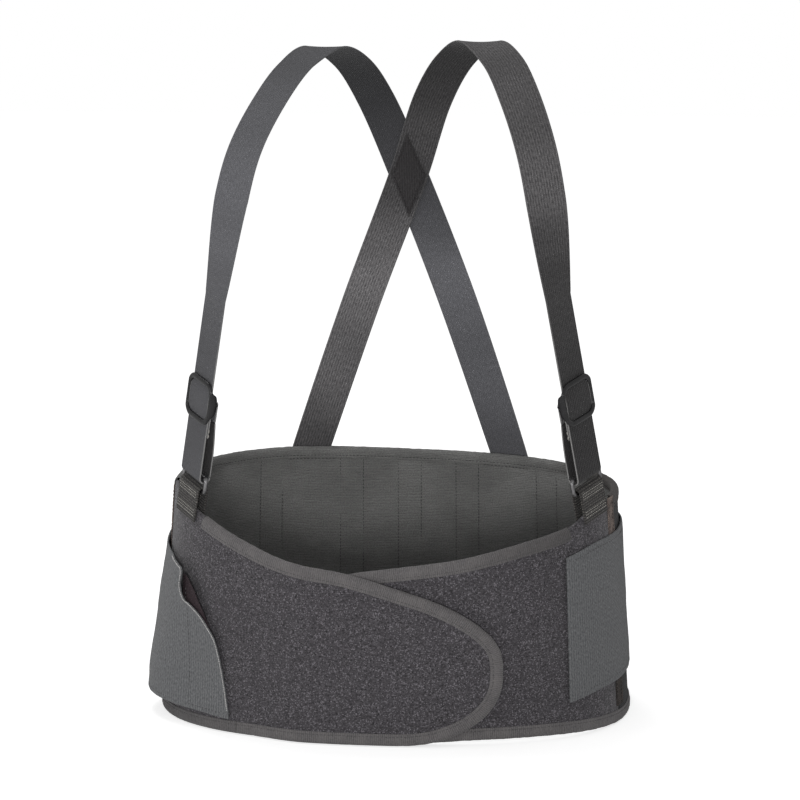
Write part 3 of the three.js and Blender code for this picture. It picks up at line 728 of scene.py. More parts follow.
# each strap's outside and inside differ only in their painted light and shade
STRAPS = {
    side: [
        strap_material(f"strap_{side}_outside", *WEAVES[side], OUTER_PAINTED_LIGHT[side]),
        strap_material(f"strap_{side}_inside", *WEAVES[side], INNER_PAINTED_LIGHT[side]),
    ]
    for side in SIDES
}
# the crossing diamond's own dark weave; on the return legs' inner faces it is painted shade
DARK_WEAVE_AND_SHADE = strap_material("dark_weave_and_shade", (44, 42, 43), (66, 64, 65), 2.2, DARK_PAINTED_SHADE)
WEBBING = webbing_material()
PLASTIC = plastic_material()
METAL = metal_material()
STAY = stay_material()
DARK_THREAD = thread_material("dark_thread", (38, 37, 38))
GREY_THREAD = thread_material("grey_thread", (92, 90, 91))
PALE_THREAD = thread_material("pale_thread", (184, 181, 175))
EDGE_THREAD = thread_material("edge_thread", (214, 212, 210))


# ---- placing on bodies
def fold_line(s, before, after):
    """Where a bend over the girth station s starts and ends, in metres."""
    here = wrap(s, 100, PANEL)
    way = unit(wrap(s + 2, 100, 0) - wrap(s - 2, 100, 0))
    return tuple((here + way * before) * MM), tuple((here + way * after) * MM)


PEEL = 300.0  # girth of the side pulls' hinges
FOLDS = {side: ("belt", f"front_{side}", *fold_line(FOLD[side], 0.0, -SIGN[side] * 22.0)) for side in SIDES}
PEELS = {
    side: ("belt", f"pull_{side}", *fold_line(SIGN[side] * PEEL, SIGN[side] * 12.0, -SIGN[side] * 14.0))
    for side in SIDES
}


def fit(piece, slot, body, *nodes):
    """Puts a piece on the body it rides on, or bakes it in place where it lies across a bend, and
    hides the nodes it replaces. slot is not used.
    """
    if isinstance(body, str):
        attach(piece, body)
    else:
        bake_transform(piece)
    if nodes:
        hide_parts(*nodes)
    return piece


def sew(name, runs, yarn, slot, body, **stitch):
    """Stitches, put on the body of the piece they are sewn to. slot is not used."""
    fit(thread(name, runs, yarn, **stitch), slot, body)


# ---- front panels
SUNK = 0.15  # how deep stitches sit in tape
TIP_EDGE = {side: TIP[side] + 0.55 * TIPWARD[side] for side in SIDES}
BINDING_SEED = {"left": 25, "right": 26}


def panel_columns(side):
    """Girths from the side seam to the rounded tip, closer together at the tip."""
    turn = 24 * TIPWARD[side]
    straight = spaced(SEAM[side] - SIGN[side] * GAP, TIP_EDGE[side] - turn, 3.0)[:-3]
    round_end = TIP_EDGE[side] - turn * (1 - np.sin(np.linspace(0, math.pi / 2, 14)))
    return np.concatenate([straight, round_end])


def front_panel(side):
    s, z = grid_between(panel_columns(side), PANEL_LOW[side], PANEL_HIGH[side], 4.0)
    swell = 0.5 * wander(s, z, 70, 11) + 0.12 * wander(s, z, 9, 12)
    calm = ease(np.minimum(z - z[:, :1], z[:, -1:] - z), 6, 26)
    middle = PANEL_OFF[side](s) + PANEL / 2
    piece = cloth_sheet(f"front_{side}", s, z, middle, PANEL, [PILE, LINING], out_face=swell * calm)
    fit(piece, "pile", FOLDS[side], f"front_side_{side}", f"front_flap_{side}")


def flap_outline(side):
    """The panel's bound edge: along the top, round the tip and back along the bottom to the fold."""
    turn = 1 - np.sin(np.linspace(0, math.pi / 2, 60))
    near = TIP_EDGE[side] - TIPWARD[side] * 40 * turn
    top = np.concatenate([np.linspace(SIGN[side] * BOUND_TO, near[0], 90)[:-1], near])
    bottom = np.concatenate([np.linspace(FOLD[side], near[0], 80)[:-1], near])[::-1]
    upper = np.stack([top, PANEL_HIGH[side](top)], -1)
    lower = np.stack([bottom, PANEL_LOW[side](bottom)], -1)
    return np.concatenate([upper, lower])


def seam_on_both_faces(line, off):
    """A seam through tape that is folded over the belt's two faces."""
    outside = seam_run(line, lambda s: off(s) + PANEL + FAR - SUNK)
    return [outside, seam_run(line, lambda s: off(s) - FAR + SUNK, -1)]


def front_binding(side):
    outline = flap_outline(side)
    off = PANEL_OFF[side]
    piece = binding(f"edge_{side}", outline, SIGN[side], off, BINDING, seed=BINDING_SEED[side])
    fit(piece, "binding", FOLDS[side], f"edge_side_{side}", f"edge_flap_{side}")
    path, _ = resample(outline, 2.0)
    slope = unit(np.gradient(path, axis=0))
    inwards = SIGN[side] * np.stack([-slope[:, 1], slope[:, 0]], -1)
    runs = seam_on_both_faces(path + inwards * (BIND - SEAM_INSET), off)
    sew(f"edge_stitches_{side}", runs, GREY_THREAD, "binding", FOLDS[side], radius=0.3)


def lower_binding():
    s = np.linspace(FOLD["right"] + GAP, GIRTH + FOLD["left"] - GAP, 400)
    outline = np.stack([s, lower_line(s)], -1)
    piece = binding("edge_lower_tape", outline, 1, level(0.0), BINDING, seed=31)
    fit(piece, "binding", "belt", "edge_lower")
    runs = seam_on_both_faces(outline + np.array([0, BIND - SEAM_INSET]), level(0.0))
    sew("edge_stitches_lower", runs, GREY_THREAD, "binding", "belt", radius=0.3)


# ---- the back
STAY_GIRTHS = [HALF_GIRTH - x for x in (-128, -53, 0, 53, 130)]
CHANNEL = 10.5  # half the distance between a stay channel's two seams
BACK_START = SEAM["right"] + GAP
BACK_END = GIRTH + SEAM["left"] - GAP
CHANNEL_SEAMS = [g + k * CHANNEL for g in STAY_GIRTHS for k in (-1, 1)]
STRAP_ENDS = ((88, 206), (93, 190), (99, 173))  # back ends of the straps: x of the girth, height
HEM_REACH = 9.0
SEAM_TAPE_TOP = 195.0


def seam_dip(s):
    """How deep the cloth is drawn in at the channel seams, and how far it puffs between them."""
    dip = 0.0
    for seam in CHANNEL_SEAMS:
        dip = dip - 0.55 * np.exp(-(((s - seam) / 0.8) ** 2))
    for stay in STAY_GIRTHS:
        dip = dip + 0.4 * np.exp(-(((s - stay) / 7.5) ** 4))
    return dip


def back_layers():
    columns = spaced(BACK_START, BACK_END, 3.2, near=CHANNEL_SEAMS)
    s, z = grid_between(columns, lower_line, back_top, 4.0)
    calm = ease(np.minimum(z - z[:, :1], z[:, -1:] - z), 2, 22)
    ends = ease(np.minimum(s - s[0, 0], s[-1, 0] - s), 2, 20)
    puff = (seam_dip(s) + 0.7 * wander(s, z, 60, 41) + 0.2 * wander(s, 0.3 * z, 14, 42)) * calm * ends
    inner = cloth_sheet("back_inner", s, z, 0 * s + LAYER / 2, LAYER, ELASTIC, in_face=puff)
    outer = cloth_sheet("back_outer", s, z, 0 * s + PANEL - LAYER / 2, LAYER, COVER, out_face=0.6 * puff)
    for piece, node in ((inner, "back_panel"), (outer, "back_cover")):
        fit(piece, "elastic", "belt", node)

    lines = [np.array([[g, BIND + 2], [g, float(back_top(g)) - HEM_REACH]]) for g in CHANNEL_SEAMS]
    for name, off, facing in (("inside", 0.42, -1), ("outside", PANEL - 0.2, 1)):
        runs = [seam_run(line, off, facing) for line in lines]
        sew(f"channel_stitches_{name}", runs, DARK_THREAD, "elastic", "belt", radius=0.24)


def back_hem():
    s = np.linspace(BACK_START + 7, BACK_END - 7, 300)
    outline = np.stack([s, back_top(s)], -1)
    piece = binding("back_hem", outline, -1, level(0.0), HEM, reach=HEM_REACH, seed=51)
    fit(piece, "elastic", "belt", "hem_back_top")
    runs = seam_on_both_faces(outline - np.array([0, HEM_REACH - SEAM_INSET]), level(0.0))
    for side in SIDES:
        middle = HALF_GIRTH - SIGN[side] * 90
        spread = np.linspace(middle - 22, middle + 22, 12)
        for drop, off in ((4.2, -FAR), (9.6, -0.1)):
            runs.append(seam_run(np.stack([spread, back_top(spread) - drop], -1), off, -1))
    sew("hem_stitches", runs, DARK_THREAD, "elastic", "belt", radius=0.26)


def upright_seams(girths, low, high, off):
    return [seam_run([[g, low], [g, high]], off) for g in girths]


def seam_tape(side):
    middle, sign = SEAM[side], SIGN[side]
    columns = spaced(middle - sign * 6, middle + sign * 9, 1.0)
    s, z = grid_between(columns, level(BIND + 5), level(SEAM_TAPE_TOP), 2.0)
    off = PANEL + GAP + TAPE / 2 + 0 * s
    pucker = 0.3 * wander(s, z, 6, 61)
    tape = cloth_sheet(f"side_tape_{side}", s, z, off, TAPE, SEAM_TAPE, out_face=pucker)
    fit(tape, "tape", "belt", f"seam_tape_{side}")
    runs = upright_seams((middle - 4.2, middle + 4.2), BIND + 6, SEAM_TAPE_TOP - 4, PANEL + FAR)
    sew(f"side_tape_stitches_{side}", runs, DARK_THREAD, "tape", "belt", radius=0.28)


# ---- side pulls
ANCHOR = 470.0  # girth of the pulls' sewn ends
ANCHOR_TAPE = (38, 170)  # lower and upper end of the tape over them
PULL_THICK = 1.6
PULL_OFF = PANEL + GAP + TAPE + GAP
PULL_FREE = {"left": -129.0, "right": 157.0}  # girths of their free ends
PULL_LOW = {
    "left": height_line([[-470, 42], [-400, 40], [-300, 27], [-240, 20], [-175, 15.5], [-129, 12]]),
    "right": height_line([[157, 30], [198, 37], [300, 42], [470, 42]]),
}
PULL_HIGH = {
    "left": height_line([[-470, 166], [-400, 165], [-300, 155], [-222, 146], [-198, 141.5], [-182, 137.5],
                         [-175.5, 133], [-172.5, 113.5], [-165.6, 108], [-155, 99.4], [-147, 89.3],
                         [-141, 79.7], [-137.5, 66.5], [-135, 53], [-132, 36], [-129, 16]]),
    "right": height_line([[157, 154], [198, 163], [300, 166], [470, 166]]),
}
CUT_GIRTHS = np.linspace(-200, -129.5, 240)
CUT = np.stack([CUT_GIRTHS, PULL_HIGH["left"](CUT_GIRTHS)], -1)  # the left pull's cut edge
NOTCH = (-174.0, 122.0)  # girth and height of the notch where its corner has lifted
BOW = (11.5, 1.5)  # how far the left pull's middle stands off, low and high up
PEELED = 7.0  # how far its free corner stands off
HOOK_HIGH = height_line([[-178, 131], [-172.6, 129.6], [-168.2, 125.3], [-163, 119.4], [-159.6, 113.1],
                         [-155.6, 105.9], [-151.7, 98.5], [-147, 87], [-142, 77], [-139, 64],
                         [-136.5, 50], [-133, 24]])
HOOK_THICK = 0.7
TONGUE_HOOK = {"girths": (10, 72), "low": 34, "high": 88, "thick": 1.2}


def pull_off(s, z):
    """How far a pull stands off the belt. The left one is bowed and has peeled at its corner."""
    share = np.clip((-s - 150) / (PEEL - 4 - 150), 0, 1)
    lift = BOW[0] + (BOW[1] - BOW[0]) * np.clip((z - 40) / 110, 0, 1)
    peeled = PEELED * ease(z, 40, 125) * (1 - ease(-s, 160, 215)) * (s < 0)
    return PULL_OFF + lift * np.sin(math.pi * share) ** 2 + peeled


def free_edge_curl(s, z):
    """The left pull's cut edge rolls outwards, most at the notch."""
    distance = np.min(np.hypot(s[..., None] - CUT[:, 0], z[..., None] - CUT[:, 1]), -1)
    strong = 1.0 + 3.4 * np.exp(-(((z - NOTCH[1]) / 12) ** 2))
    return ease(s, -203, -190) * strong * np.exp(-((distance / 4.5) ** 2)) * ease(z, 14, 60)


def pull_face(side):
    """How far the pull's outer face is off the base surface."""
    if side == "left":
        return lambda s, z: pull_off(s, z) + PULL_THICK + free_edge_curl(s, z)
    return lambda s, z: PULL_OFF + PULL_THICK + 0 * s


def pull_sheet(side):
    sign = SIGN[side]
    free = PULL_FREE[side]
    columns = spaced(sign * ANCHOR, free, 2.5, near=NOTCH[:1] if side == "left" else ())
    s, z = grid_between(columns, PULL_LOW[side], PULL_HIGH[side], 3.0)
    if side == "left":
        rolled = free_edge_curl(s, z)
    else:
        rolled = 0.5 * np.exp(-(((s - free) / 6) ** 2))
    calm = ease(s * sign, abs(free) + 2, abs(free) + 30)
    swell = (0.35 * wander(s, z, 45, 71) + 0.12 * wander(s, z, 11, 72)) * calm
    middle = pull_off(s, z) + rolled + PULL_THICK / 2
    piece = cloth_sheet(f"side_pull_{side}", s, z, middle, PULL_THICK, PULL, out_face=swell, in_face=-swell)
    fit(piece, "pull", PEELS[side], f"pull_band_{side}", f"pull_end_{side}")


def run_on_pull(points, off):
    path, _ = resample(points, 2.0)
    at = off(path[:, 0], path[:, 1]) - 0.05
    here = wrap(path[:, 0], path[:, 1], at)
    return here, wrap(path[:, 0], path[:, 1], at + 1) - here


def pull_stitches(side):
    low, high, off = PULL_LOW[side], PULL_HIGH[side], pull_face(side)
    if side == "right":
        inset = 5.0
        back = np.linspace(PEEL + 20, PULL_FREE[side] + inset, 60)
        top = np.stack([back, high(back) - inset], -1)
        bottom = np.stack([back, low(back) + inset], -1)
        runs = [run_on_pull(np.concatenate([top, bottom[::-1]]), off)]
    else:
        inset = 4.0
        seam = PULL_FREE[side] - 40
        level_run = np.linspace(-285, -136, 60)
        runs = [
            run_on_pull([[seam, float(low(seam)) + inset], [seam, NOTCH[1]]], off),
            run_on_pull(np.stack([level_run, low(level_run) + inset], -1), off),
        ]
        slope = unit(np.gradient(CUT, axis=0))
        rim = [run_on_pull(CUT + 0.7 * np.stack([slope[:, 1], -slope[:, 0]], -1), off)]
        sew("pull_edging", rim, EDGE_THREAD, "pull", PEELS[side], radius=0.5, pitch=1.5, share=0.9)
    sew(f"pull_stitches_{side}", runs, GREY_THREAD, "pull", PEELS[side], radius=0.26, pitch=3.6, share=0.6)


def pull_hooks(side):
    """The hook patch under the pull's end. The left one shows in the notch."""
    low, high = PULL_LOW[side], PULL_HIGH[side]
    if side == "left":
        s, z = grid_between(spaced(-178, -133, 1.5), lambda g: low(g) + 4, HOOK_HIGH, 3.0)
    else:
        columns = spaced(PULL_FREE[side] + 40, PULL_FREE[side] + 3, 2.0)
        s, z = grid_between(columns, lambda g: low(g) + 5, lambda g: high(g) - 5, 3.0)
    under = pull_off(s, z) - HOOK_THICK / 2 - 0.1
    piece = cloth_sheet(f"hook_patch_{side}", s, z, under, HOOK_THICK, HOOK)
    fit(piece, "hook", f"pull_{side}", f"pull_hook_{side}")


def pull_anchor(side):
    sign = SIGN[side]
    columns = spaced(sign * (ANCHOR - 9), sign * (ANCHOR + 5), 1.2)
    low, high = ANCHOR_TAPE
    s, z = grid_between(columns, level(low), level(high), 2.0)
    off = PULL_OFF + PULL_THICK + GAP + TAPE / 2 + 0.15 * wander(s, z, 7, 81)
    piece = cloth_sheet(f"anchor_tape_{side}", s, z, off, TAPE, BINDING)
    fit(piece, "tape", "belt", f"pull_anchor_{side}")
    girths = (sign * (ANCHOR - 7), sign * (ANCHOR + 2.6))
    runs = upright_seams(girths, low + 2, high - 2, PULL_OFF + PULL_THICK + FAR)
    sew(f"anchor_stitches_{side}", runs, DARK_THREAD, "tape", "belt", radius=0.3)


def tongue_hooks():
    low, high, thick = TONGUE_HOOK["low"], TONGUE_HOOK["high"], TONGUE_HOOK["thick"]
    s, z = grid_between(spaced(*TONGUE_HOOK["girths"], 2.0), level(low), level(high), 3.0)
    off = PANEL_OFF["left"](TIP["left"]) - GAP - thick / 2 + 0 * s
    piece = cloth_sheet("tongue_hook_patch", s, z, off, thick, HOOK)
    fit(piece, "hook", "front_left", "tongue_hook")


# ---- the rig at each side: loop, ring, adjuster and the strap's straight leg
LOOP_BELOW = 12.0
LOOPS = {"left": (-186.0, 190.0, 12.0), "right": (192.0, 194.0, 13.0)}  # girth, height, tilt in degrees
WEB_THICK = 1.6
LOOP_ROWS = (14.5, 12.2, 9.9, -1.5, -4.0, -6.5)  # heights of the bright yarns across the loop
WIRE = 3.6
RING_INSIDE = 36.0
RING_LOW = 15.0  # height of the ring's lower bar over the loop's origin
RING_PITCH = 13.0  # and of its upper bar over the lower one
RING_N = -0.85  # how far out both are
FOLD_RADIUS = 4.6  # of the strap round the upper bar
LEG_N = RING_N + FOLD_RADIUS
LEG_FOOT = RING_LOW + RING_PITCH
LEG_TOP = 184.0  # where the strap's straight leg ends
SLIDER_AT = 94.0  # the adjuster's middle bar
SLIDER_TALL = 38.0
BAR = 4.6
RAIL = 3.4
SLIDER_INSIDE = 35.2
CORNER = 9.0  # radius of the adjuster's corners
HUMP = 1.7  # how far the strap swells out in its window
TAB_BEND = 2.6  # radius of the strap's sewn end round the middle bar
TAB_FRONT, TAB_BACK = 30, 16  # lengths of the sewn end's two layers
TAB_ROWS = (-27.5, -24.5)  # its stitches, measured from the middle bar
FRONT_BAR = STRAP_THICK / 2 + GAP
MIDDLE_BAR = -(FRONT_BAR + STRAP_THICK / 2 + TAB_BEND)


class Rig:
    """One side's hardware frame: along the ring's bars, up the strap, and out of the belt."""

    def __init__(self, side):
        girth, height, degrees = LOOPS[side]
        tilt = math.radians(degrees)
        self.side = side
        self.sign = SIGN[side]
        self.slider = f"slider_{side}"
        self.origin = wrap(girth, height, PANEL / 2)
        back = unit(wrap(girth + self.sign * 4, height, 0) - wrap(girth - self.sign * 4, height, 0))
        upwards = wrap(girth, height + 20, 0) - wrap(girth, height - 20, 0)
        upwards = unit(upwards - back * np.dot(upwards, back))
        self.along = back * math.cos(tilt) + upwards * math.sin(tilt)
        self.up = upwards * math.cos(tilt) - back * math.sin(tilt)
        self.out = np.cross(self.along, self.up) * self.sign

    def at(self, b, t, n):
        b, t, n = (np.asarray(v, float)[..., None] for v in (b, t, n))
        return self.origin + self.along * b + self.up * t + self.out * n

    def arc(self, t, n, radius, start, end, steps):
        """Places on an arc round a bar, with the way out from it."""
        angle = np.radians(np.linspace(start, end, steps + 1))[:, None]
        face = self.out * np.cos(angle) + self.up * np.sin(angle)
        return self.at(0, t, n) + face * radius, face

    def straight(self, start, end, n, facing, steps):
        t = np.linspace(start, end, steps + 1)
        return self.at(0 * t, t, n + 0 * t), np.tile(self.out * facing, (steps + 1, 1))

    def row(self, half, t, n):
        """A seam across the strap."""
        b = np.linspace(-half, half, 12)
        return self.at(b, t + 0 * b, n + 0 * b), np.tile(self.out, (12, 1))


def joined(*parts):
    """Places and faces of several stretches, one after another, with no place twice."""
    places = np.concatenate([p for p, _ in parts])
    faces = np.concatenate([f for _, f in parts])
    step = np.concatenate([[1], np.linalg.norm(np.diff(places, axis=0), axis=1)])
    return places[step > 1e-3], faces[step > 1e-3]


def webbing_loop(rig):
    outer = PANEL / 2 + GAP + WEB_THICK / 2
    inner = 2 * RING_N - outer
    places, faces = joined(
        rig.straight(-LOOP_BELOW, RING_LOW, outer, 1, 20),
        rig.arc(RING_LOW, RING_N, outer - RING_N, 0, 180, 14),
        rig.straight(RING_LOW, -LOOP_BELOW, inner, -1, 20),
    )
    places, _ = resample(places, 0.55)
    grid = np.linspace(0, 1, len(places))
    faces = values_at(grid, np.linspace(0, 1, len(faces)), faces)
    fit(woven_loop(f"webbing_loop_{rig.side}", places, faces), "webbing", "belt", f"loop_{rig.side}")
    runs = [rig.row(STRAP_WIDE / 2 - 2, t, outer + WEB_THICK / 2 + 0.2) for t in LOOP_ROWS]
    name = f"loop_stitches_{rig.side}"
    sew(name, runs, PALE_THREAD, "webbing", "belt", radius=0.45, pitch=2.3, share=0.5)


def woven_loop(name, places, faces):
    """Coarse webbing with its ribs in the mesh."""
    x = np.linspace(-STRAP_WIDE / 2, STRAP_WIDE / 2, 61)
    cords = np.cos(x * 2 * math.pi / WEB_CORD)
    along = lengths_along(places)[:, None] + 0.35 * np.sign(cords)
    ribs = 0.14 * np.cos(along * 2 * math.pi / WEB_RIB) * (0.55 + 0.45 * cords)
    return webbing(name, places, faces, x, WEB_THICK, ribs, 0.0, WEBBING)


def rounded_box_path(half_width, half_height, radius, steps, step):
    """A rounded rectangle as points going round once, with the outward way at each. Its long sides
    are divided too, so that a section can change along them."""
    points, ways = [], []
    for sx, sy, start in ((1, 1, 0), (-1, 1, 90), (-1, -1, 180), (1, -1, 270)):
        for angle in np.radians(np.linspace(start, start + 90, steps + 1)):
            way = np.array([math.cos(angle), math.sin(angle)])
            points.append(np.array([sx * (half_width - radius), sy * (half_height - radius)]) + way * radius)
            ways.append(way)
    made, looks = [], []
    for i, (a, way) in enumerate(zip(points, ways)):
        b, next_way = points[(i + 1) % len(points)], ways[(i + 1) % len(points)]
        count = max(int(np.linalg.norm(b - a) / step), 1)
        for k in range(count):
            made.append(a + (b - a) * k / count)
            looks.append(way if k == 0 else unit(way + next_way))
    return np.array(made), np.array(looks)


def tube(name, places, material, closed):
    """A mesh over rings of points."""
    faces = tube_faces(*places.shape[:2], closed)
    return mesh_object(name, places.reshape(-1, 3), faces, None, material)


def swept_ring(name, rig, outline, half_wide, low, high, t, n, power, material):
    """A closed bar round an outline in the rig's plane. Its section is half_wide to each side of the
    outline and runs from low to high along the rig's out."""
    points, ways = outline
    turns = np.linspace(0, 2 * math.pi, 21)[:-1]
    cos, sin = np.cos(turns), np.sin(turns)
    wide = np.sign(cos) * np.abs(cos) ** (2 / power)
    deep = np.sign(sin) * np.abs(sin) ** (2 / power)
    radial = wide[None, :] * half_wide[:, None]
    depth = (low + high)[:, None] / 2 + deep[None, :] * (high - low)[:, None] / 2
    b = points[:, :1] + ways[:, :1] * radial
    up = points[:, 1:] + ways[:, 1:] * radial
    return tube(name, rig.at(b, t + up, n + depth), material, closed=True)


def plated_ring(rig):
    outline = rounded_box_path((RING_INSIDE + WIRE) / 2, RING_PITCH / 2, 3.6, steps=8, step=3.0)
    half = np.full(len(outline[0]), WIRE / 2)
    middle = RING_LOW + RING_PITCH / 2
    name = f"ring_wire_{rig.side}"
    piece = swept_ring(name, rig, outline, half, -half, half, middle, RING_N, 2.0, METAL)
    fit(piece, "metal", f"ring_{rig.side}", f"ring_{rig.side}")


def adjuster(rig):
    half_wide, half_tall = (SLIDER_INSIDE + RAIL) / 2, (SLIDER_TALL - BAR) / 2
    outline = rounded_box_path(half_wide, half_tall, CORNER, steps=12, step=1.2)
    across, up = outline[0].T
    on_rail = 1 - ease(np.abs(up), half_tall - CORNER + 0.5, half_tall - CORNER + 4.0)
    half = BAR / 2 + (RAIL / 2 - BAR / 2) * on_rail
    lug = np.clip(1 - (up / half_tall) ** 2, 0, 1) * on_rail
    low = FRONT_BAR + (MIDDLE_BAR - 0.2 - FRONT_BAR) * lug
    high = FRONT_BAR + 2.6 + 0.5 * np.cos(across * math.pi / SLIDER_INSIDE) * (1 - on_rail)
    name = f"adjuster_{rig.side}"
    frame_piece = swept_ring(name, rig, outline, half, low, high, SLIDER_AT, LEG_N, 2.8, PLASTIC)
    fit(frame_piece, "plastic", rig.slider, rig.slider)

    b = np.linspace(-half_wide, half_wide, 24)[:, None]
    turns = np.linspace(0, 2 * math.pi, 17)[None, :-1]
    radius = 1.15 + 0.5 * (np.abs(2 * b / SLIDER_INSIDE) ** 8).clip(0, 1)
    n = LEG_N + MIDDLE_BAR + radius * np.cos(turns)
    places = rig.at(b + 0 * n, SLIDER_AT + radius * np.sin(turns), n)
    fit(tube(f"adjuster_bar_{rig.side}", places, PLASTIC, closed=False), "plastic", rig.slider)


def strap_hump(rig):
    """Where the strap swells up in the adjuster's window."""
    tall = SLIDER_TALL / 2 - BAR + 0.6
    share = np.linspace(-1, 1, 34)
    n = LEG_N + STRAP_THICK / 2 + HUMP * (1 - share**2) ** 0.8
    places = rig.at(0 * share, SLIDER_AT + tall * share, n)
    faces = np.tile(rig.out, (len(share), 1))
    outside = STRAPS[rig.side][0]
    name = f"strap_swell_{rig.side}"
    piece = ribbon(name, places, faces, SLIDER_INSIDE - 0.1, 0.5, outside, crown=0.5)
    fit(piece, "strap", rig.slider)


def strap_tab(rig):
    """The strap's own end, folded round the adjuster's middle bar and sewn to itself."""
    bar = LEG_N + MIDDLE_BAR
    front = bar + TAB_BEND
    places, faces = joined(
        rig.straight(SLIDER_AT - TAB_FRONT, SLIDER_AT, front, 1, 12),
        rig.arc(SLIDER_AT, bar, TAB_BEND, 0, 180, 12),
        rig.straight(SLIDER_AT, SLIDER_AT - TAB_BACK, bar - TAB_BEND, -1, 8),
    )
    piece = ribbon(f"sewn_end_{rig.side}", places, faces, STRAP_WIDE, STRAP_THICK, STRAPS[rig.side])
    fit(piece, "strap", rig.slider, f"strap_tab_{rig.side}")
    runs = [rig.row(STRAP_WIDE / 2 - 3, SLIDER_AT + t, front + 0.75) for t in TAB_ROWS]
    rise = SLIDER_AT + np.linspace(-TAB_FRONT, -21.5, 6)
    for edge in (-1, 1):
        for n in (-0.4, 0.4):
            line = rig.at(edge * (STRAP_WIDE / 2 + 0.1) + 0 * rise, rise, front + n + 0 * rise)
            runs.append((line, np.tile(rig.along * edge, (6, 1))))
    name = f"sewn_end_stitches_{rig.side}"
    sew(name, runs, PALE_THREAD, "strap", rig.slider, radius=0.3, pitch=3.0)


def strap_return(rig):
    """From the ring's fold back up to the adjuster; it stretches as the adjuster slides."""
    foot = rig.at(0, LEG_FOOT + GAP, RING_N - FOLD_RADIUS)
    head = rig.at(0, SLIDER_AT - TAB_BACK - GAP, LEG_N + MIDDLE_BAR - TAB_BEND)
    share = np.linspace(0, 1, 40)[:, None]
    places = foot + (head - foot) * share - rig.out * 0.9 * np.sin(math.pi * share)
    faces = np.tile(-rig.out, (len(places), 1))
    # the inner face, towards the front leg, is painted shade for the dark gap between the legs
    materials = [STRAPS[rig.side][0], DARK_WEAVE_AND_SHADE]
    piece = ribbon(f"return_leg_{rig.side}", places, faces, STRAP_WIDE, STRAP_THICK, materials)
    stretch = ("belt", rig.slider, tuple(foot * MM), tuple(head * MM))
    fit(piece, "strap", stretch, f"strap_return_{rig.side}")


# ---- shoulder straps
CHEST = {
    "right": [(133, -98, 452), (124, -86, 493), (109, -60, 533), (92, -28, 562), (71, 5, 575),
              (48, 40, 559), (25, 78, 522)],
    "left": [(127, -98, 452), (117, -86, 492), (99, -60, 531), (81, -28, 558), (62, 5, 570),
             (43, 40, 556), (26, 78, 522)],
}
CHEST_TURN = {"left": [0.5, 0.48, 0.45, 0.4], "right": [0.3, 0.15]}  # how far the strap looks aside
CROSSING = (115.0, 451.0)  # y and height where the straps cross
BELOW_CROSSING = (43, 127, 337)
STRAP_LAYER = {"left": 1.0, "right": -1.0}  # the right strap passes inside the left one
PATCH = {"half": 15.5, "tall": 38.0, "clear": 0.7}  # the diamond's half width and height, and its gap


def catmull(points, per_span):
    """A centripetal Catmull-Rom curve: places, and for each its span and the share of it gone."""
    ends = [2 * points[0] - points[1], *points, 2 * points[-1] - points[-2]]
    made, spans, shares = [], [], []
    for i in range(len(points) - 1):
        p0, p1, p2, p3 = ends[i:i + 4]
        d0, d1, d2 = (max(np.linalg.norm(b - a), 1e-9) ** 0.5 for a, b in ((p0, p1), (p1, p2), (p2, p3)))
        m1 = ((p1 - p0) / d0 - (p2 - p0) / (d0 + d1) + (p2 - p1) / d1) * d1
        m2 = ((p2 - p1) / d1 - (p3 - p1) / (d1 + d2) + (p3 - p2) / d2) * d1
        share = np.linspace(0, 1, per_span + 1)[:-1 if i < len(points) - 2 else None, None]
        made.append(p1 + m1 * share + (3 * (p2 - p1) - 2 * m1 - m2) * share**2
                    + (2 * (p1 - p2) + m1 + m2) * share**3)
        spans += [i] * len(share)
        shares += share[:, 0].tolist()
    return np.concatenate(made), np.array(spans), np.array(shares)


def strap_line(rig):
    """The strap's middle line above its straight leg, and its outer side's facing."""
    side, sign, layer = rig.side, rig.sign, STRAP_LAYER[rig.side]
    knots = [rig.at(0, LEG_TOP, LEG_N)]
    hints = [rig.along]
    for i, (x, y, z) in enumerate(CHEST[side]):
        turn = CHEST_TURN[side][i] if i < len(CHEST_TURN[side]) else 0.0
        knots.append(np.array([sign * x, y + (layer if i > 4 else 0), z], float))
        hints.append(unit([sign, turn, 0]))
    for x, y, z in ((0, *CROSSING), BELOW_CROSSING):
        knots.append(np.array([-sign * x, y + layer, z], float))
        hints.append(np.array([sign, 0, 0], float))
    hug = PANEL + GAP + TAPE + GAP + STRAP_THICK / 2
    for x, z in STRAP_ENDS:
        s = -sign * (HALF_GIRTH - x)
        across = unit(wrap(s + 3, z, 0) - wrap(s - 3, z, 0))
        knots.append(wrap(s, z, hug))
        hints.append(across if across[0] * sign > 0 else -across)
    places, spans, shares = catmull(knots, 26)
    along = unit(np.gradient(places, axis=0))
    hints = np.array(hints)
    across = hints[spans] * (1 - shares[:, None]) + hints[spans + 1] * shares[:, None]
    return places, unit(np.cross(across, along) * sign)


def shoulder_strap(rig):
    places, faces = joined(
        rig.arc(LEG_FOOT, RING_N, FOLD_RADIUS, -180, 0, 18),
        rig.straight(LEG_FOOT, LEG_TOP, LEG_N, 1, 60),
        strap_line(rig),
    )
    materials = STRAPS[rig.side]
    name = f"shoulder_strap_{rig.side}"
    piece = ribbon(name, places, faces, STRAP_WIDE, STRAP_THICK, materials, selvedge=0.12)
    fit(piece, "strap", "belt", f"strap_{rig.side}")
    end_stitches(rig, places, faces)
    return places


